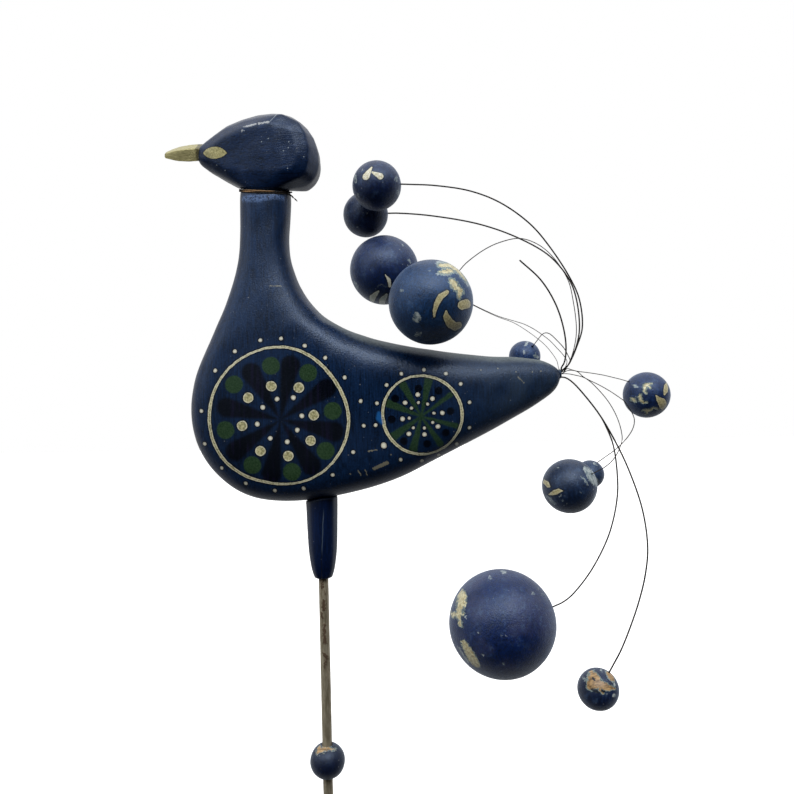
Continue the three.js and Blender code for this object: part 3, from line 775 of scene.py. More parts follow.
# %% Carve the head
bm = bmesh.new()
for ring, share in HEAD_RINGS:
    for x, z in ring:
        along = min(max((x - NARROW_FROM) / (NARROW_TO - NARROW_FROM), 0), 1)
        half = HEAD_HALF_THICKNESS * share * (1 - (1 - NARROW_SHARE) * along)
        bmesh.ops.create_vert(bm, co=(x, half, z))
        bmesh.ops.create_vert(bm, co=(x, -half, z))
for k in range(SEAT_CORNERS):
    angle = 2 * math.pi * k / SEAT_CORNERS
    x = SEAT_X + SEAT_HALF_WIDTH * bend(math.cos(angle), 2 / BODY_STATIONS[0][5])
    y = SEAT_HALF_DEPTH * bend(math.sin(angle), 2 / DEPTH_POWER)
    bmesh.ops.create_vert(bm, co=(x, y, neck_top(x, y) + SEAT_HEIGHT))
hull = bmesh.ops.convex_hull(bm, input=bm.verts)
bmesh.ops.delete(bm, geom=hull["geom_interior"], context="VERTS")
seat = Vector((SEAT_X, 0, neck_top(SEAT_X, 0) + SEAT_HEIGHT))
slice_off(bm, seat, Vector((neck_top(1, 0) - neck_top(0, 0), NECK_SLANT, -1)))
bmesh.ops.holes_fill(bm, edges=[e for e in bm.edges if e.is_boundary])
bmesh.ops.triangulate(bm, faces=bm.faces)
bm = remeshed(bm, HEAD_VOXEL)
for _ in range(HEAD_SMOOTHING_PASSES):
    bmesh.ops.smooth_vert(bm, verts=bm.verts, factor=0.5, use_axis_x=True, use_axis_y=True,
                          use_axis_z=True)
uneven(bm, bm.verts, reach=0.18, size=7, seed=8)
print("head faces:", len(bm.faces))


# %% Head finish
HEAD_WEAR = [[(-32.4, 423.4, 0.3), (-28.6, 423.9, 0.55), (-26.6, 424.2, 0.3)],
             [(-25.0, 424.3, 0.5), (-20.3, 424.5, 0.6)], [(-33.6, 421.4, 0.4), (-33.2, 421.7, 0.3)]]
HEAD_HAIRLINE = [[(-19.6, 424.7, 0.1), (-17.6, 427.0, 0.1), (-15.6, 430.4, 0.2)]]
HEAD_SPECKS = [(-20.4, 416.4), (-10.4, 414.2), (-10.7, 411.3), (-13.1, 410.0), (-3.6, 407.3),
               (-11.3, 401.5), (-32.5, 421.3), (-47.0, 406.1), (-44.7, 399.6), (-42.8, 403.2),
               (-23.8, 415.2)]
# centre and radius
EYE_CIRCLES = [((-48.4, 406.5), 8.5), ((-47.1, 417.7), 8.5), ((-45.0, 411.8), 8.8)]


def head_finish():
    finish = new_finish("painted_head")
    where = finish.place()
    grain_where = finish.place(stretch=(0.12, 1, 1))
    colour, height, clouds, _ = blue_paint(finish, where, grain_where, shade(12, 30, 60))
    flat = finish.flat(where, 0.5, 0.3)
    # The eye is an almond: two circles overlap, a third blunts its corner, and the gold is in all.
    eye = reduce(Signal.most, (nearest(finish, flat, [place], radius) for place, radius in EYE_CIRCLES))
    mottle = finish.noise(where, 1.3, 4, 0.65).fade(0.2, 0.8)
    gold = finish.mix(mottle, shade(122, 116, 70), shade(208, 200, 144))
    # The dark line round the eye is painted shadow.
    colour = painted(finish, colour, eye, gold, outline=0.7)
    # The ridge above the cheek is rubbed white, and a hairline runs up from its end.
    off_front = finish.axis(where, "Y").fade(-7.0, -6.0) * FAR_AWAY
    wear = strokes(finish, finish.flat(where, 1.3, 1.9), HEAD_WEAR) + off_front
    colour = finish.mix(wear.fade(0.3, -0.3) * 0.8, colour, shade(186, 190, 192))
    knocks = strokes(finish, flat, HEAD_HAIRLINE)
    knocks = knocks.least(nearest(finish, flat, HEAD_SPECKS, 0.24)) + off_front
    colour = finish.mix(knocks.fade(0.15, -0.1) * 0.7, colour, shade(170, 182, 190))
    return finish.surface(
        {"Base Color": colour, "Roughness": finish.blend(clouds, 0.24, 0.34),
         "Specular IOR Level": 0.45, "Specular Tint": SHEEN_TINT}, height, depth=0.22)


into_piece(bm, "whittled_head", "head", head_finish())

# %% [markdown]
# ## The beak
#
# The beak is a gold-painted peg with a blunt tip. It was cut square and its corners taken off, so it
# has broad flats that catch the light one by one: its section has six sides.

# %% Whittle the beak
BEAK_ROOT_X = -57.4
BEAK_Z = 415.1
# Its axis drops a little towards the tip.
BEAK_DROOP = 0.045
# (distance from the root, size of the section)
BEAK_STEPS = [(-5, 4.5), (1, 4.85), (4.5, 4.75), (8, 4.4), (10.3, 4.0), (12.5, 3.3), (15.6, 2.25),
              (16.7, 1.8), (17.25, 0.9)]
# The section is (depth, height): a flat that faces up, a keel towards the viewer, and a flat below.
BEAK_SECTION = [(-0.3, 1.02), (-0.9, 0.14), (-0.62, -1.05), (0.62, -1.05), (0.9, 0.14), (0.3, 1.02)]
BEAK_SIDES = len(BEAK_SECTION)


def beak_point(angle, step, size):
    depth, height = BEAK_SECTION[round(angle * BEAK_SIDES / (2 * math.pi)) % BEAK_SIDES]
    return Vector((BEAK_ROOT_X - step, depth * size, BEAK_Z - BEAK_DROOP * step + height * size))


bm = loft(BEAK_SIDES, (beak_point, BEAK_STEPS))
bmesh.ops.bevel(bm, geom=bm.edges[:], offset=0.3, segments=2, profile=0.5, affect="EDGES", material=-1)
bmesh.ops.subdivide_edges(bm, edges=bm.edges[:], cuts=2, use_grid_fill=True)
uneven(bm, bm.verts, reach=0.12, size=3, seed=1)


def gold_finish():
    finish = new_finish("gold_beak_paint")
    where = finish.place()
    cuts = finish.noise(finish.place(stretch=(0.35, 1, 1)), 1.4, 4, 0.6)
    colour = finish.mix(cuts, shade(130, 124, 84), shade(204, 196, 142))
    # Towards the root the gold lies thick and rough. At the root itself, where the beak goes into the
    # head, a dark band is painted shade.
    along = finish.axis(finish.wobble(where, 0.9, 1.4), "X")
    thick = along.fade(-68.0, -60.0)
    colour = finish.mix(along.fade(-58.4, -57.9) * 0.7, colour, shade(30, 26, 14))
    return finish.surface(
        {"Base Color": colour, "Roughness": finish.blend(cuts, 0.28, 0.45), "Metallic": 0.45},
        cuts * 0.5 + finish.noise(where, 1.2, 3) * thick, depth=0.3)


into_piece(bm, "whittled_beak", "beak", gold_finish(), sharp_above=30)

# %% [markdown]
# ## The cord round the neck
#
# Where head and neck meet, a thin cord goes round a little more than one and a half times and leaves in
# a frayed end. Three strands are twisted about one route. A curve with a round bevel makes each strand,
# and it becomes a mesh.

# %% Curves and tubes
def smooth_route(points, pieces):
    """Points along a centripetal Catmull-Rom curve, with so many pieces from point to point."""
    points = [Vector(p) for p in points]
    points = [2 * points[0] - points[1]] + points + [2 * points[-1] - points[-2]]
    route = []
    for a, b, c, d in zip(points, points[1:], points[2:], points[3:]):
        ab, bc, cd = ((q - p).length ** 0.5 for p, q in ((a, b), (b, c), (c, d)))
        leave = ((b - a) / ab - (c - a) / (ab + bc) + (c - b) / bc) * bc
        arrive = ((c - b) / bc - (d - b) / (bc + cd) + (d - c) / cd) * bc
        for k in range(pieces):
            t = k / pieces
            route.append(b + t * leave + t * t * (3 * (c - b) - 2 * leave - arrive)
                         + t ** 3 * (2 * (b - c) + leave + arrive))
    return route + [points[-2]]


def add_tube(bm, route, radius, roundness):
    """Adds a tube along a route, closed at both ends. Roundness is Blender's bevel resolution."""
    curve = bpy.data.curves.new("working", "CURVE")
    curve.dimensions = "3D"
    curve.bevel_depth = radius
    curve.bevel_resolution = roundness
    curve.use_fill_caps = True
    line = curve.splines.new("POLY")
    line.points.add(len(route) - 1)
    for point, place in zip(line.points, route):
        point.co = (*place, 1)
    worker = bpy.data.objects.new("working", curve)
    mesh = bpy.data.meshes.new_from_object(worker)
    bm.from_mesh(mesh)
    bpy.data.objects.remove(worker)
    bpy.data.curves.remove(curve)
    bpy.data.meshes.remove(mesh)
    bmesh.ops.remove_doubles(bm, verts=bm.verts, dist=1e-5)


# %% Wind the cord
CORD_RADIUS = 0.4
CORD_CLEAR = 0.48
# At first the cord's middle is this far below the joint. Later it sinks by a steady amount per turn.
CORD_BELOW = 0.42
CORD_SINK = 0.825
CORD_SINK_LESS = 0.27
CORD_START = -0.5
CORD_STEPS = range(8, 41)
CORD_STEPS_PER_TURN = 20
CORD_TAIL = [(-11.4, -4.6, 391.5), (-10.4, -4.2, 390.4)]
STRANDS = 3
STRAND_RADIUS = 0.21
TWISTS = 95
FRAYS = [(2.1, -0.4, -1.9), (1.6, 0.5, -1.1), (1.7, -0.6, -1.9), (1.0, 0.2, -1.2)]
FRAY_RADIUS = 0.13
ox, oz, ix, iz, half, square = BODY_STATIONS[0]
winding = []
for i in CORD_STEPS:
    turns = i / CORD_STEPS_PER_TURN
    angle = CORD_START + 2 * math.pi * turns
    x = (ox + ix) / 2 + ((ix - ox) / 2 + CORD_CLEAR + CORD_RADIUS) * bend(math.cos(angle), 2 / square)
    y = (half + CORD_CLEAR + CORD_RADIUS) * bend(math.sin(angle), 2 / DEPTH_POWER)
    below = max(CORD_BELOW, CORD_SINK * turns - CORD_SINK_LESS)
    winding.append((x, y, neck_top(x, y) - below))
route = smooth_route(winding + CORD_TAIL, pieces=24)


def strand(route, phase, twists, radius):
    """A route that winds round another route."""
    made = []
    for i, point in enumerate(route):
        ahead = (route[min(i + 1, len(route) - 1)] - route[max(i - 1, 0)]).normalized()
        side = ahead.cross(Vector((0, 0, 1))).normalized()
        angle = phase + 2 * math.pi * twists * i / len(route)
        made.append(point + radius * (side * math.cos(angle) + side.cross(ahead) * math.sin(angle)))
    return made


bm = bmesh.new()
for k in range(STRANDS):
    around = strand(route, 2 * math.pi * k / STRANDS, TWISTS, CORD_RADIUS - STRAND_RADIUS)
    add_tube(bm, around, STRAND_RADIUS, roundness=0)
end = route[-1]
for fray in map(Vector, FRAYS):
    middle = end + fray * 0.5 + Vector((0.1, 0, 0.15))
    hair = smooth_route([route[-6], end, middle, end + fray], pieces=4)
    add_tube(bm, hair, FRAY_RADIUS, roundness=0)


def cord_finish():
    finish = new_finish("old_cord")
    where = finish.place()
    spots = finish.noise(where, 0.25, 2)
    fuzz = finish.noise(where, 4.0, 3)
    across, depth = finish.axis(where, "X"), finish.axis(where, "Y")
    height = finish.axis(where, "Z") - depth * NECK_SLANT
    # One stretch of the front turn is worn to its tan core. The rest is nearly black.
    worn = across.fade(-17.5, -20.5) * across.fade(-36.0, -32.0) * depth.fade(-6.0, -8.0)
    worn = worn * height.fade(396.2, 395.9) * height.fade(394.9, 395.2)
    colour = finish.mix(fuzz, shade(12, 10, 9), shade(44, 36, 30))
    colour = finish.mix(worn, colour, finish.mix(fuzz, shade(120, 92, 60), shade(184, 144, 100)))
    rough = finish.blend(spots, 0.8, 0.95)
    return finish.surface({"Base Color": colour, "Roughness": rough}, fuzz, depth=0.2)


into_piece(bm, "neck_cord", "neck_binding", cord_finish())

# %% [markdown]
# ## The leg
#
# The leg is a whittled peg with a hole for the rod. It is coped, which means that its top is cut to
# fit the belly. Here each vertex of its top ring looks straight up for the belly and stops there.

# %% Whittle the leg
LEG_BOTTOM = 201.6
LEG_SIDES = 48
LEG_TOP_HEIGHT, LEG_TOP_RADIUS = 34, 7.9
ROD_RADIUS = 2.45
# The room between a hole and what is in it.
GAP = 0.3
SOCKET_RADIUS = ROD_RADIUS + GAP
SOCKET_DEPTH = 18.3
# (height above the leg's bottom, radius): down the socket, out over the rim and up the outside
LEG_STEPS = [(SOCKET_DEPTH, SOCKET_RADIUS), (0.2, SOCKET_RADIUS), (0, SOCKET_RADIUS + 0.15), (0, 3.9),
             (0, 4.1), (0.5, 4.5), (1.6, 4.9), (4, 5.7), (9, 6.5), (14, 7.1), (21, 7.4), (30, 7.65),
             (34, 7.8)]
# How far the last two rings stop below the belly.
BELLY_STEPS = [(0.72,), (0.12,)]


def leg_point(angle, height, radius):
    """The peg was cut with a knife, so its section is a soft polygon."""
    if radius > 4:
        radius *= 1 + 0.012 * math.cos(9 * angle + 0.4)
    return round_point(angle, LEG_BOTTOM + height, radius)


def under_belly(angle, below):
    point = leg_point(angle, LEG_TOP_HEIGHT, LEG_TOP_RADIUS)
    belly = body_shape.ray_cast(point, Vector((0, 0, 1)))[0]
    return Vector((point.x, point.y, belly.z - below))


bm = loft(LEG_SIDES, (leg_point, LEG_STEPS), (under_belly, BELLY_STEPS))
uneven(bm, [v for v in bm.verts if v.co.xy.length > 5], reach=0.12, size=6, seed=5)


def leg_finish():
    finish = new_finish("painted_leg")
    where = finish.place()
    grain_where = finish.place(stretch=(1.4, 1.4, 0.04))
    colour, height, clouds, grain = blue_paint(finish, where, grain_where, shade(5, 20, 52))
    across = finish.axis(finish.wobble(where, 0.3, 0.5), "X")
    up, depth = finish.axis(where, "Z"), finish.axis(where, "Y")
    # A drying crack runs up the front from the socket. Its dark lower part is painted shade in the open
    # crack, and it is pale above.
    line = across + 0.6 - (up - 202) * 0.06
    crack = line.size().fade(0.34, 0.1) * depth.fade(-3.0, -3.6) * up.fade(238.0, 232.0)
    inside = finish.mix(up.fade(213.0, 219.0), shade(14, 12, 14), shade(92, 108, 124))
    colour = finish.mix(crack * 0.6, colour, inside)
    # At both sides, left and right, the peg is painted paler towards its edges.
    rubbed = across.size().fade(5.2, 7.0) * grain.fade(0.3, 0.7)
    colour = finish.mix(rubbed * 0.4, colour, shade(58, 76, 84))
    return finish.surface(
        {"Base Color": colour, "Roughness": finish.blend(clouds, 0.28, 0.4),
         "Specular Tint": SHEEN_TINT}, height - crack * 1.2, depth=0.2)


subdivide_once(into_piece(bm, "whittled_leg", "leg", leg_finish()))

# %% [markdown]
# ## The rod
#
# The rod is mild steel, cut off flat at the bottom. Its skin is dull grey-brown with rust that comes
# through in spots, mostly below the leg. Fine rings of vertices let it be slightly pitted.

# %% Rod
ROD_SIDES = 32
ROD_TOP = LEG_BOTTOM + SOCKET_DEPTH - GAP
# (height, radius)
ROD_STEPS = ([(0, ROD_RADIUS - 0.25), (0.25, ROD_RADIUS)] + [(h, ROD_RADIUS) for h in range(3, 219, 3)]
             + [(ROD_TOP - 0.3, ROD_RADIUS), (ROD_TOP, ROD_RADIUS - 0.3)])
# The pits are where the rod shows below the leg, and its lower end stays flat.
PITTED = (2, 200)
# The side in the photograph has these patches of rust.
RUST = [[(-0.1, 190.4, 0.8), (0.2, 186.4, 1.0)], [(-1.1, 184.4, 0.4), (-1.0, 182.2, 0.5)],
        [(0.2, 178.6, 0.5), (-0.1, 173.4, 0.8), (0.3, 169.6, 0.8)],
        [(-0.8, 164.8, 0.5), (0.9, 162.0, 0.9)], [(-0.3, 201.0, 0.4), (-0.6, 196.6, 0.6)],
        [(0.3, 160.4, 0.6), (-0.2, 158.4, 0.4)]]

bm = loft(ROD_SIDES, (round_point, ROD_STEPS))
pitted = [v for v in bm.verts if PITTED[0] < v.co.z < PITTED[1]]
uneven(bm, pitted, reach=0.07, size=4, seed=2)


def rod_finish():
    finish = new_finish("rusty_steel")
    where = finish.place()
    streaks = finish.noise(finish.place(stretch=(1, 1, 0.12)), 1.1, 4, 0.6)
    patches = finish.noise(finish.place(stretch=(1, 1, 0.35)), 0.22, 3, 0.6)
    colour = finish.mix(streaks.fade(0.3, 0.7), shade(140, 130, 108), shade(192, 183, 160))
    rust = (patches + streaks * 0.25).fade(0.66, 0.8)
    rust = rust.most(strokes(finish, finish.flat(where, 0.9, 2.6), RUST).fade(0.55, -0.3))
    brown = finish.mix(streaks, shade(34, 19, 9), shade(88, 60, 36))
    colour = finish.mix(rust * 0.92, colour, brown)
    return finish.surface(
        {"Base Color": colour, "Roughness": finish.blend(rust, 0.42, 0.8),
         "Metallic": finish.blend(rust, 0.55, 0.1)}, streaks + rust * 0.6, depth=0.15)


into_piece(bm, "steel_rod", "rod", rod_finish(), sharp_above=40)

# %% [markdown]
# ## The bead on the rod
#
# A turned bead slides on the rod. Its profile goes round the outside and back through the bore, and a
# spin about the rod's axis makes the solid.

# %% Turn the bead
BEAD_HEIGHT = 110
BEAD_RADIUS = 8.7
BEAD_SIDES = 48
BEAD_ARC_STEPS = 32
# The bore's mouth is rounded over this width.
BEAD_LIP = 0.35
start = math.asin((SOCKET_RADIUS + BEAD_LIP) / BEAD_RADIUS)
mouth_z = -BEAD_RADIUS * math.cos(start)
profile = [(SOCKET_RADIUS, mouth_z + 0.45), (SOCKET_RADIUS + 0.1, mouth_z + 0.12)]
for i in range(BEAD_ARC_STEPS + 1):
    angle = start + (math.pi - 2 * start) * i / BEAD_ARC_STEPS
    profile.append((BEAD_RADIUS * math.sin(angle), -BEAD_RADIUS * math.cos(angle)))
profile += [(r, -z) for r, z in reversed(profile[:2])]
bm = bmesh.new()
corners = [bmesh.ops.create_vert(bm, co=(r, 0, BEAD_HEIGHT + z))["vert"][0] for r, z in profile]
outline = [bmesh.ops.contextual_create(bm, geom=[p, q])["edges"][0]
           for p, q in zip(corners, corners[1:] + corners[:1])]
bmesh.ops.spin(bm, geom=outline, cent=(0, 0, 0), axis=(0, 0, 1), angle=2 * math.pi, steps=BEAD_SIDES,
               use_merge=True)
bmesh.ops.remove_doubles(bm, verts=bm.verts, dist=1e-4)
bmesh.ops.recalc_face_normals(bm, faces=bm.faces)
outside = [v for v in bm.verts if v.co.xy.length > SOCKET_RADIUS + 0.55]
uneven(bm, outside, reach=0.1, size=5, seed=7)

# %% [markdown]
# ## The paint of the balls
#
# The balls have the same blue paint, but a little lighter and chalky. Leaf strokes in gold are dabbed
# on some of them. Where they knocked together the paint is chipped, down to pale primer and bare wood.
# A chip's edge is ragged, so its distance is read in coordinates that a strong noise has pushed about.

# %% Ball finish
CREAM_WOOD = (shade(176, 160, 110), shade(234, 228, 188))
TAN_WOOD = (shade(120, 92, 48), shade(196, 160, 108))
LEAF_GOLD = (shade(168, 156, 108), shade(210, 200, 150))
# A lit copy of the leaf gold: a painted highlight for leaves that face the light.
LIT_LEAF_GOLD = (shade(206, 196, 152), shade(250, 246, 226))


def ball_finish(name, centre, blue, leaves=(), chips=(), scuffs=(), dark=(), ragged=1.6, margin=0.25,
                wood=CREAM_WOOD, gold=LEAF_GOLD, lavender=0.0, chalky=0.34):
    """Leaves, chips, scuffs and dark (painted shade) are paths of (x, z, radius), measured from the
    ball's centre.
    """
    finish = new_finish("painted_" + name)
    where = finish.place(centre)
    grain_where = finish.place(centre, (1, 1, 0.5))
    colour, height, clouds, grain = blue_paint(finish, where, grain_where, blue, dust=0.6)
    # The blue is patchy: a breath of lavender in large clouds, and chalky wear in small ones.
    if lavender:
        clouded = finish.noise(where, 0.06, 3, 0.6).fade(0.42, 0.6)
        colour = finish.mix(clouded * lavender, colour, shade(68, 68, 94))
    chalk = finish.noise(where, 0.35, 6, 0.75).fade(0.48, 0.66) * clouds.fade(0.35, 0.6)
    colour = finish.mix(chalk * chalky, colour, shade(84, 112, 148))
    back = finish.axis(where, "Y").fade(-0.5, 0.5) * FAR_AWAY
    if leaves:
        leaf = strokes(finish, finish.flat(where, 0.6, 0.5), leaves) + back
        colour = painted(finish, colour, leaf, gold_paint(finish, where, leaf, *gold, pale=0.4))
    if chips or scuffs:
        flat = finish.flat(finish.wobble(where, 0.7, ragged), 1.7, ragged)
    if scuffs:
        scuff = strokes(finish, flat, scuffs) + back + 0.12
        scratched = finish.mix(grain.fade(0.35, 0.65), shade(112, 130, 136), shade(206, 216, 212))
        colour = finish.mix(scuff.fade(0.2, -0.25) * 0.75, colour, scratched)
    if chips:
        chip = strokes(finish, flat, chips) + back
        # A dark band round each chip is painted shadow at its broken edge.
        colour = finish.mix(chip.fade(0.8, 0.45) * 0.6, colour, BLACK)
        colour = finish.mix(chip.fade(margin + 0.25, margin), colour, PRIMER)
        fibre = finish.noise(finish.place(centre, (0.3, 1, 1)), 1.0, 3)
        colour = finish.mix(chip.fade(0.1, -0.2), colour, finish.mix(fibre.fade(0.3, 0.7), *wood))
        height = height - chip.fade(0.3, 0.0) * 1.5
    # Dark strokes are painted shadow under chips and painted shade in a small hole.
    if dark:
        painted_shade = strokes(finish, flat, dark) + back
        colour = finish.mix(painted_shade.fade(0.3, -0.1) * 0.95, colour, BLACK)
    return finish.surface(
        {"Base Color": colour, "Roughness": finish.blend(clouds, 0.36, 0.48),
         "Specular Tint": SHEEN_TINT, "Specular IOR Level": 0.8, "Sheen Weight": 0.42,
         "Sheen Roughness": 0.35, "Sheen Tint": SHEEN_TINT}, height, depth=0.4)


BEAD_CHIPS = [[(-5.2, 5.6, 0.2), (-3.6, 7.0, 0.9), (-1.4, 7.4, 0.7), (1.0, 7.7, 0.4), (4.6, 6.8, 0.1)]]
bead_paint = ball_finish("bead", (0, 0, BEAD_HEIGHT), shade(1, 9, 38), margin=0.1, wood=TAN_WOOD,
                         chalky=0.05, chips=BEAD_CHIPS)
into_piece(bm, "threaded_bead", "rod_bead", bead_paint, sharp_above=50)

# %% [markdown]
# ## The balls of the tail
#
# Each ball is a sphere with its pole at the mouth of its drilled hole. The pole is sliced off, and the
# round rim that is left is extruded inwards, in the direction that the wire comes from.

# %% Where the balls are
# name: centre, radius, direction of the hole's mouth, from the centre
BALLS = {
    "a": ((31.2, -14.3, 392.5), 11.72, (0.99, -0.16, 0)),
    "b": ((24.8, 6.6, 384.0), 11.35, (1.0, 0, 0.04)),
    "c": ((33.7, 1.3, 354.6), 17.17, (0.93, 0.02, -0.37)),
    "d": ((55.5, -22.5, 334.9), 19.8, (0.68, -0.18, 0.71)),
    "e": ((105.4, 14.0, 310.4), 8.09, (0.39, -0.71, 0.58)),
    "f": ((165.8, 7.0, 289.1), 11.6, (-0.80, -0.10, 0.60)),
    "g": ((122.4, -6.6, 245.3), 13.27, (0.70, -0.52, 0.48)),
    "h": ((137.1, 10.8, 248.9), 7.2, (0.54, -0.07, 0.84)),
    "i": ((87.7, -7.9, 179.0), 25.96, (0.94, -0.10, 0.32)),
    "j": ((138.0, 7.5, 139.6), 10.4, (0.52, -0.12, 0.84)),
}
BALL_HOLE_RADIUS = 0.6
BALL_HOLE_DEPTH = 4.5
# Balls of more than this radius are drawn finer.
LARGE_BALL = 15

# %% [markdown]
# ## The wires
#
# All wires come out of one hole in the tail's tip and spring apart. The routes are those of the CAD
# model: a few points that a curve passes through, then straight into the ball's hole.

# %% Wire routes
# name: (seat in the tail's hole as (y, z), points)
WIRES = {
    "a": ((-0.8, 1.6), [(122, -0.8, 302.9), (124.5, -0.8, 305), (126.3, -0.8, 308.1),
        (128.8, -0.9, 313.8), (131.8, -1, 323.2), (130.5, -1.9, 337.1), (126.3, -2.9, 347),
        (115.7, -5.2, 363), (105.7, -7.6, 374.1), (90.8, -10.6, 384.1), (76.1, -13, 389.4),
        (59.1, -15.4, 391.7), (47.6, -16.7, 392.1)]),
    "b": ((0.8, 1.6), [(122.4, 0.8, 302.8), (124.8, 0.8, 305), (126.4, 0.8, 308.2), (128.8, 0.9, 313.4),
        (130.9, 1.2, 322.4), (130, 1.9, 337.6), (126.8, 2.6, 347.8), (117.5, 3.6, 360.1),
        (102.8, 4.8, 369.6), (82.8, 5.9, 377.6), (57.5, 6.6, 382.8), (41.3, 6.7, 384.4)]),
    "d": ((-1.6, 0.8), [(121.7, -1.7, 302.8), (124, -1.7, 304.9), (125.6, -1.8, 308.1),
        (127.3, -2.3, 313.7), (128.4, -3, 322.1), (126.4, -5.5, 336.7), (123.6, -7.8, 346.2),
        (115.7, -11.4, 357), (108, -14.4, 362.6), (98.9, -17.6, 365), (88.8, -21.2, 362.6),
        (80.7, -24, 358.6), (72, -26.6, 352.1)]),
    "c": ((1.6, 0.8), [(124.5, 1.9, 306.5), (123, 2.3, 309.8), (119.8, 2.7, 313.7), (116.4, 3, 317.5),
        (112.5, 3.2, 320.7), (108.6, 3.3, 323.5), (103.5, 3.2, 326.2), (99.3, 3, 327.6), (91, 2.8, 330.3),
        (84.3, 2.6, 333.3), (72, 2.2, 339.4)]),
    "e": ((0.8, 0.8), [(123.3, 1.4, 302.7), (126, 1.7, 307), (125, 1.9, 310), (123.4, 2.8, 313.5),
        (120.2, 4.2, 317.7), (116.7, 5.2, 321.2), (114.6, 5.4, 321.7), (112.7, 5.2, 320.7),
        (110.5, 4.4, 318.2)]),
    "bare": ((0, 1.6), [(121.2, 0.1, 303.6), (122.8, 0.1, 306.5), (123.8, 0.3, 313.5),
        (122.8, 0.6, 323.6), (119.1, 0.6, 335.7), (112, 0.2, 347.7), (101.4, -0.5, 357.8)]),
    "fine": ((0, 0.8), [(120.1, 0.9, 303.3), (119.3, 1.4, 307.2), (116.7, 1.6, 311.5),
        (113.6, 1.7, 315.3), (110.2, 1.8, 318.4), (104.2, 1.8, 323), (98, 1.8, 326.9), (90.8, 1.6, 329.7),
        (84.1, 1.3, 332.8), (75.3, 0.9, 337.3)]),
    "f": ((-0.8, 0), [(123.9, -0.9, 303.1), (125.7, -1.1, 302.6), (128.9, -1, 301.7),
        (134.3, -0.6, 300.9), (142.6, 2.4, 299.6), (148.6, 4.1, 298.2), (152.7, 5.1, 297.2)]),
    "g": ((0.8, 0), [(124.2, 0.9, 302.1), (126.8, 1.2, 302.3), (129.5, 1.1, 301.5), (131.9, 0.8, 299.2),
        (135.4, 0.3, 296.5), (140.3, -0.8, 291.1), (143.7, -1.9, 286.3), (146.1, -3.2, 281.5),
        (147.6, -4.7, 276.9), (148.4, -6.4, 272.1), (148.1, -8.6, 267.4), (145.1, -11.2, 261.7),
        (141.2, -13.8, 257.6), (136.7, -16, 254.8)]),
    "h": ((0, 0), [(123.9, 0, 300.6), (128.4, -0.2, 299.7), (131.5, -0.4, 298.8), (135.2, -0.7, 296.9),
        (140, -0.9, 294.4), (145, -1.4, 291.3), (149.2, -1.6, 288.3), (151.7, -1.6, 286.3),
        (154.3, -0.8, 282.8), (156.7, 0.6, 279.2), (157.7, 1.8, 276.2), (157.2, 3.3, 272.1),
        (154, 5.3, 266.5), (149.3, 8.2, 261.2), (144.5, 9.7, 257.5)]),
    "i": ((-0.8, -1.6), [(123.2, -0.9, 298.5), (126.6, -1, 296), (131.3, -1.4, 290.6),
        (138.8, -2.4, 280.3), (142, -3, 273.9), (145.2, -3.9, 264.2), (146.4, -5.6, 245.6),
        (145.2, -6.3, 235.4), (141.8, -7.4, 223.4), (137.4, -8.3, 213.9), (130.9, -9.3, 203.5),
        (124.9, -10.2, 196.3), (120.6, -10.7, 192.1), (116.5, -11, 189.4)]),
    "j": ((0.8, -1.6), [(123.6, 0.8, 298.5), (127, 0.9, 296.1), (132, 1.2, 290.6), (139.9, 1.8, 280.2),
        (146.6, 2.3, 268.8), (154.3, 2.9, 252.5), (161.3, 3.4, 231.1), (163.5, 3.4, 211.9),
        (161.9, 3.2, 198.3), (158.7, 3.4, 185.7), (154.4, 3.9, 173), (149.3, 4.7, 160.2),
        (145.6, 5.3, 153)]),
}
# Where the wires start and end in the tail's hole.
SEAT_FROM, SEAT_TO = TAIL_HOLE_FROM + GAP + 1, 121


def ball_hole(name):
    """The mouth of a ball's hole and the direction it is drilled in, outwards."""
    centre, radius, towards = BALLS[name]
    mouth = Vector(centre) + Vector(towards).normalized() * radius
    return mouth, (Vector(WIRES[name][1][-1]) - mouth).normalized()


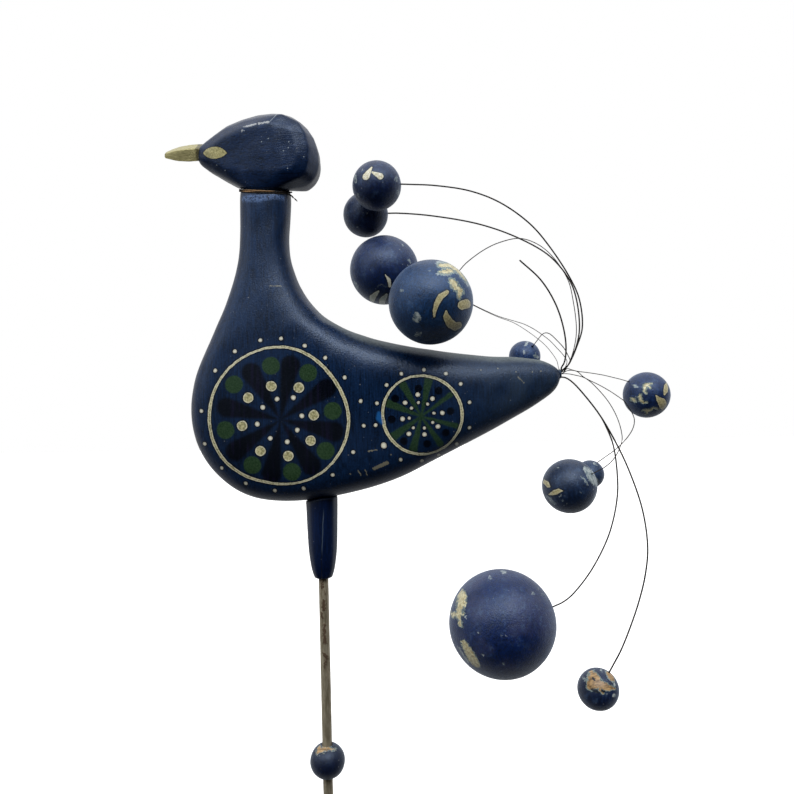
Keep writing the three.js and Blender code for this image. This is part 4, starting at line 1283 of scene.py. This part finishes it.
# %% Turn and drill the balls
BALL_MARKS = {
    "a": dict(
        # Its leaves face the light, so they get the lit gold: a painted highlight.
        blue=shade(2, 19, 60), gold=LIT_LEAF_GOLD,
        leaves=[[(-1.9, 5.8, 0.35), (-4.6, 1.5, 1.7)], [(-1.6, 3.1, 0.5), (1.9, 1.1, 1.5)]],
        scuffs=[[(-6.7, 5.4, 0.4), (-6.4, 5.1, 0.4)], [(-9.8, 3.5, 0.5), (-9.7, 0.1, 0.6)],
                [(9.5, 2.1, 0.5), (9.3, 0.2, 0.7)], [(9.9, -5.1, 0.4), (10.6, -3.2, 0.3)],
                [(-9.2, -4.9, 0.3), (-8.4, -6.6, 0.3)]]),
    "b": dict(
        blue=shade(2, 18, 56),
        scuffs=[[(-0.9, -1.8, 0.3), (-0.7, -2.0, 0.3)], [(1.0, -2.0, 0.2), (1.2, -2.1, 0.3)],
                [(-4.1, -7.7, 0.3), (-3.8, -8.0, 0.3)]]),
    "c": dict(
        # Its low leaves get a paler gold, which is painted bounce light.
        blue=shade(2, 26, 72), gold=(shade(232, 228, 196), shade(250, 248, 226)),
        leaves=[[(-3.0, -12.3, 0.5), (-6.0, -14.7, 1.5)], [(1.0, -13.8, 0.6), (-1.3, -16.2, 1.5)],
                [(0.7, -5.1, 0.2), (2.4, -7.5, 0.8), (2.7, -10.0, 0.7)]],
        scuffs=[[(-3.8, -10.6, 0.2), (-1.6, -9.1, 0.25), (-0.1, -10.2, 0.2), (1.4, -10.5, 0.2)],
                [(9.4, 10.4, 0.5), (9.7, 10.0, 0.4)], [(7.7, 7.5, 0.3), (7.9, 7.3, 0.3)],
                [(12.2, 2.5, 0.7), (13.2, 1.4, 0.5)], [(11.5, -0.1, 0.4), (12.5, -0.6, 0.4)],
                [(-14.6, -6.3, 0.4), (-13.5, -9.3, 0.7)]]),
    "d": dict(
        blue=shade(14, 48, 88), margin=0.7, ragged=2.4,
        leaves=[[(6.4, 2.0, 0.9), (3.5, -0.1, 1.3), (1.8, -2.9, 1.2), (0.7, -6.1, 0.8), (0.6, -8.6, 0.4)],
                [(5.9, -6.3, 0.4), (6.1, -8.9, 1.5), (7.9, -11.5, 1.9), (10.4, -12.7, 1.7),
                (12.3, -12.0, 1.3)], [(13.2, -3.5, 1.9), (15.8, -2.5, 2.0)]],
        chips=[[(4.3, 15.1, 0.9), (8.6, 15.6, 1.2), (12.1, 13.6, 1.2), (15.8, 8.8, 0.5)],
               [(4.0, 11.4, 0.6), (7.3, 12.1, 1.1), (9.4, 12.6, 0.7)],
               [(9.3, 7.1, 1.2), (10.4, 4.8, 1.3), (12.7, 2.9, 1.2), (12.0, 0.2, 0.6)]],
        scuffs=[[(3.9, 16.2, 1.8), (11.3, 14.8, 2.4), (17.2, 7.2, 1.4)],
                [(2.5, 10.3, 0.6), (7.5, 10.8, 1.4)],
                [(-7.3, -7.4, 1.2), (-7.0, -9.1, 1.7), (-8.2, -9.5, 0.8)],
                [(-13.9, 3.7, 0.5), (-13.3, 3.9, 0.5)], [(-7.3, -15.9, 1.0), (-5.9, -15.7, 0.9)],
                [(-2.0, 4.6, 0.3), (-1.7, 4.4, 0.3)], [(-1.1, 12.3, 0.4), (-0.8, 11.9, 0.4)]]),
    "e": dict(
        blue=shade(22, 46, 90),
        scuffs=[[(1.0, 7.2, 0.6), (-0.5, 5.4, 0.7)], [(-1.6, 2.7, 0.5), (-1.5, 1.2, 0.6)],
                [(4.5, 1.3, 0.4), (3.9, -0.3, 0.8), (6.0, -0.9, 0.8)]]),
    "f": dict(
        blue=shade(10, 34, 78), ragged=1.0,
        leaves=[[(0.7, -0.3, 0.2), (2.3, -2.3, 1.2), (4.1, -3.8, 2.1), (5.2, -5.1, 2.2),
                (5.5, -7.2, 0.7)], [(8.1, 5.4, 0.6), (7.1, 3.8, 1.4), (6.4, 2.1, 1.4), (5.6, 0.3, 0.6)]],
        chips=[[(-0.6, 5.8, 0.2), (-2.6, 5.3, 0.5), (-3.8, 4.6, 0.8), (-4.4, 3.0, 0.6), (-4.7, 1.8, 0.3),
               (-3.9, 0.9, 0.2)], [(-2.6, 4.6, 0.5), (-1.8, 3.7, 0.4)], [(-6.3, 0.3, 0.2),
               (-6.5, -1.1, 0.6), (-6.1, -2.5, 0.6), (-4.9, -3.7, 0.4), (-3.3, -3.6, 0.1)],
               [(-9.7, -1.4, 0.2), (-9.0, -2.2, 0.7), (-8.1, -3.2, 0.3)], [(-4.9, -7.7, 0.1),
               (-3.6, -7.4, 0.4), (-2.3, -8.0, 0.8), (-1.1, -7.4, 0.6), (0.1, -6.4, 0.2),
               (2.6, -7.1, 0.2)], [(-2.6, -8.2, 0.5), (-2.3, -9.2, 0.3)]],
        scuffs=[[(-8.5, 5.1, 0.5), (-7.8, 4.5, 0.9), (-7.1, 4.3, 0.5)],
                [(-8.2, -0.4, 0.2), (-7.8, -1.5, 0.2)]]),
    "g": dict(
        blue=shade(9, 28, 58),
        leaves=[[(-11.3, -3.1, 0.25), (-10.3, -2.5, 0.8), (-8.9, -1.6, 1.2), (-7.6, -0.8, 0.9),
                (-6.1, -0.8, 0.25)], [(-12.8, 3.1, 0.5), (-12.3, 2.3, 1.0), (-11.7, 1.0, 0.7)]],
        scuffs=[[(6.2, 8.8, 1.6), (8.8, 5.6, 3.0), (11.2, 1.8, 1.8)],
                [(-11.9, -4.2, 0.5), (-10.4, -5.9, 0.7), (-8.7, -7.6, 0.6)],
                [(-7.5, -3.8, 0.4), (-6.6, -2.5, 0.3)], [(-5.2, -3.1, 0.25), (-5.1, -3.2, 0.25)],
                [(-5.8, -5.5, 0.55), (-5.7, -5.8, 0.4)], [(-3.9, -6.9, 0.3), (-3.8, -7.0, 0.3)],
                [(-5.1, -8.1, 0.35), (-4.8, -8.2, 0.3)],
                [(2.8, 5.6, 0.3), (4.1, 4.9, 0.6), (4.9, 3.4, 0.7), (6.2, 1.7, 0.4)],
                [(9.3, -0.4, 0.35), (9.4, -0.5, 0.35)], [(2.3, -1.4, 0.3), (2.4, -1.5, 0.3)],
                [(-6.9, 9.7, 0.45), (-6.8, 9.6, 0.4)],
                [(10.7, -3.1, 0.35), (9.4, -5.6, 0.4), (8.2, -7.5, 0.35)]]),
    "h": dict(
        blue=shade(26, 44, 74),
        scuffs=[[(-2.8, 3.7, 1.0), (-1.5, 1.8, 1.4), (-0.6, -0.4, 1.5), (1.0, -2.5, 1.5),
                (2.5, -4.4, 0.9)], [(1.0, 6.0, 0.5), (2.4, 4.9, 0.5)]]),
    "i": dict(
        blue=shade(3, 27, 76), lavender=0.35, ragged=1.9,
        chips=[[(-20.8, 15.1, 1.0), (-18.8, 16.5, 0.8)],
               [(-19.6, 15.5, 1.3), (-20.4, 13.0, 1.5), (-21.5, 10.9, 1.0), (-22.0, 7.4, 0.9)],
               [(-24.8, 6.0, 0.6), (-23.1, 7.6, 0.6)], [(-20.7, 8.3, 0.3), (-19.7, 9.7, 0.2)],
               [(-21.8, 6.8, 0.5), (-21.4, 3.8, 0.6)],
               [(-20.2, -3.8, 1.1), (-18.6, -6.6, 1.9), (-16.7, -11.0, 2.0), (-14.6, -14.3, 1.4)]],
        scuffs=[[(0.2, 25.9, 0.5), (1.6, 25.8, 0.5)], [(-6.9, 24.0, 0.3), (-5.9, 24.5, 0.3)],
                [(12.6, 18.2, 0.4), (13.7, 17.6, 0.4)], [(-19.1, 8.1, 0.6), (-19.0, 8.2, 0.6)],
                [(-1.9, 2.3, 0.4), (-1.8, 2.3, 0.4)], [(-4.1, 2.3, 0.3), (-3.9, 2.3, 0.3)],
                [(-12.7, -7.2, 0.4), (-11.8, -7.9, 0.35)], [(-3.1, -10.7, 0.6), (-2.9, -11.8, 0.5)],
                [(-22.4, -7.4, 0.5), (-18.4, -14.4, 0.9)], [(-14.3, 2.6, 0.4), (-13.8, 2.5, 0.4)],
                [(16.5, 18.4, 0.3), (16.8, 18.2, 0.3)], [(17.8, 16.4, 0.2), (21.0, 14.7, 0.2)]]),
    "j": dict(
        blue=shade(5, 20, 54), wood=TAN_WOOD, ragged=1.1,
        chips=[[(-4.4, 9.1, 0.3), (-3.2, 8.9, 1.1), (-2.6, 7.8, 2.0), (-3.7, 6.3, 2.6), (-5.3, 5.0, 1.8),
               (-6.5, 3.7, 0.9), (-5.5, 3.1, 0.4)], [(-3.0, 6.7, 2.2), (-1.2, 5.7, 1.8), (0.8, 5.1, 1.6),
               (2.6, 4.2, 1.3), (4.4, 4.0, 0.7), (6.6, 3.0, 0.3)], [(-1.7, 3.5, 0.7), (-0.2, 1.9, 0.3)],
               [(3.9, 9.1, 0.5), (4.6, 8.2, 1.0), (6.1, 7.3, 1.3), (6.8, 6.4, 0.6)]],
        scuffs=[[(-3.9, 2.5, 0.5), (-3.4, 2.2, 0.35)], [(1.1, 1.8, 0.25), (1.6, 1.5, 0.35)],
                [(-7.5, 6.3, 0.8), (-7.0, 6.6, 0.6)], [(6.2, 4.9, 0.7), (6.6, 4.4, 0.7)],
                [(5.4, 0.2, 0.9), (6.3, -0.4, 0.6)], [(1.0, 10.3, 0.4), (1.5, 10.2, 0.4)],
                [(5.5, 3.1, 0.4), (6.8, 2.6, 0.5)]],
        # Painted shadow under two chips, and painted shade in a small hole.
        dark=[[(-5.8, 3.3, 0.2), (-4.2, 2.9, 0.6), (-2.3, 2.3, 0.5)], [(-0.8, 3.3, 0.4), (0.3, 2.8, 0.6)],
              [(-3.9, 7.4, 0.4), (-3.5, 7.4, 0.3)]]),
}


def drilled_ball(name, seed):
    centre, radius, towards = BALLS[name]
    _, drill = ball_hole(name)
    rings = 48 if radius > LARGE_BALL else 36
    bm = bmesh.new()
    bmesh.ops.create_uvsphere(bm, u_segments=rings + 16, v_segments=rings, radius=radius)
    # Slice the pole off where it is as wide as the hole, then turn it to the mouth.
    lip = radius - (BALL_HOLE_RADIUS + 0.12) * math.tan(math.pi / rings / 2)
    slice_off(bm, (0, 0, lip), (0, 0, 1))
    turned = Vector((0, 0, 1)).rotation_difference(Vector(towards))
    bmesh.ops.rotate(bm, verts=bm.verts, matrix=turned.to_matrix(), cent=(0, 0, 0))
    bmesh.ops.translate(bm, verts=bm.verts, vec=centre)
    uneven(bm, bm.verts, reach=radius * 0.006, size=radius * 0.6, seed=seed)
    edges = [e for e in bm.edges if e.is_boundary]
    # The first step in is short and rounds the mouth. The second is the hole.
    for sink, narrow in ((0.15, 0.9), (BALL_HOLE_DEPTH, 1.0)):
        verts, edges = extruded(bm, edges)
        bmesh.ops.translate(bm, verts=verts, vec=-drill * sink)
        middle = sum((v.co for v in verts), Vector()) / len(verts)
        bmesh.ops.scale(bm, verts=verts, vec=(narrow,) * 3, space=Matrix.Translation(-middle))
    close_ring(bm, edges)
    paint = ball_finish("ball_" + name, centre, **BALL_MARKS[name])
    into_piece(bm, "tail_ball_" + name, "ball_" + name, paint, sharp_above=60)


for seed, name in enumerate(BALLS):
    drilled_ball(name, seed)

# %% Bend the wires
WIRE_RADII = {"a": 0.38, "b": 0.38, "bare": 0.4, "i": 0.38, "j": 0.4, "c": 0.17, "fine": 0.15}
THIN_WIRE_RADIUS = 0.22


def wire_finish():
    finish = new_finish("spring_wire")
    where = finish.place()
    stains = finish.noise(where, 0.3, 3)
    fine = finish.noise(where, 2.5)
    colour = finish.mix(stains.fade(0.5, 0.7), shade(14, 13, 14), shade(58, 46, 34))
    rough = finish.blend(fine, 0.4, 0.6)
    return finish.surface({"Base Color": colour, "Roughness": rough, "Metallic": 0.3},
                          fine, depth=0.03)


spring_steel = wire_finish()
for name, ((y, dz), points) in WIRES.items():
    route = [(x, y, TAIL_HOLE_Z + dz) for x in (SEAT_FROM, SEAT_TO)] + points
    if name in BALLS:
        mouth, drill = ball_hole(name)
        route += [mouth + drill * d for d in (1, 0, GAP - BALL_HOLE_DEPTH)]
    bm = bmesh.new()
    radius = WIRE_RADII.get(name, THIN_WIRE_RADIUS)
    add_tube(bm, smooth_route(route, pieces=8), radius, roundness=1)
    into_piece(bm, "tail_wire_" + name, "wire_" + name, spring_steel)

# %% [markdown]
# ## The size, and the end
#
# The dressed model is compared with the CAD model: the script prints how far the corners of its box lie
# from those of the CAD model's box.

# %% Sizes
dressed_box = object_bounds()
growth = [b - a for p, q in zip(cad_box, dressed_box) for a, b in zip(p, q)]
print("grew by, in mm:", [round(g / MM, 2) for g in growth])
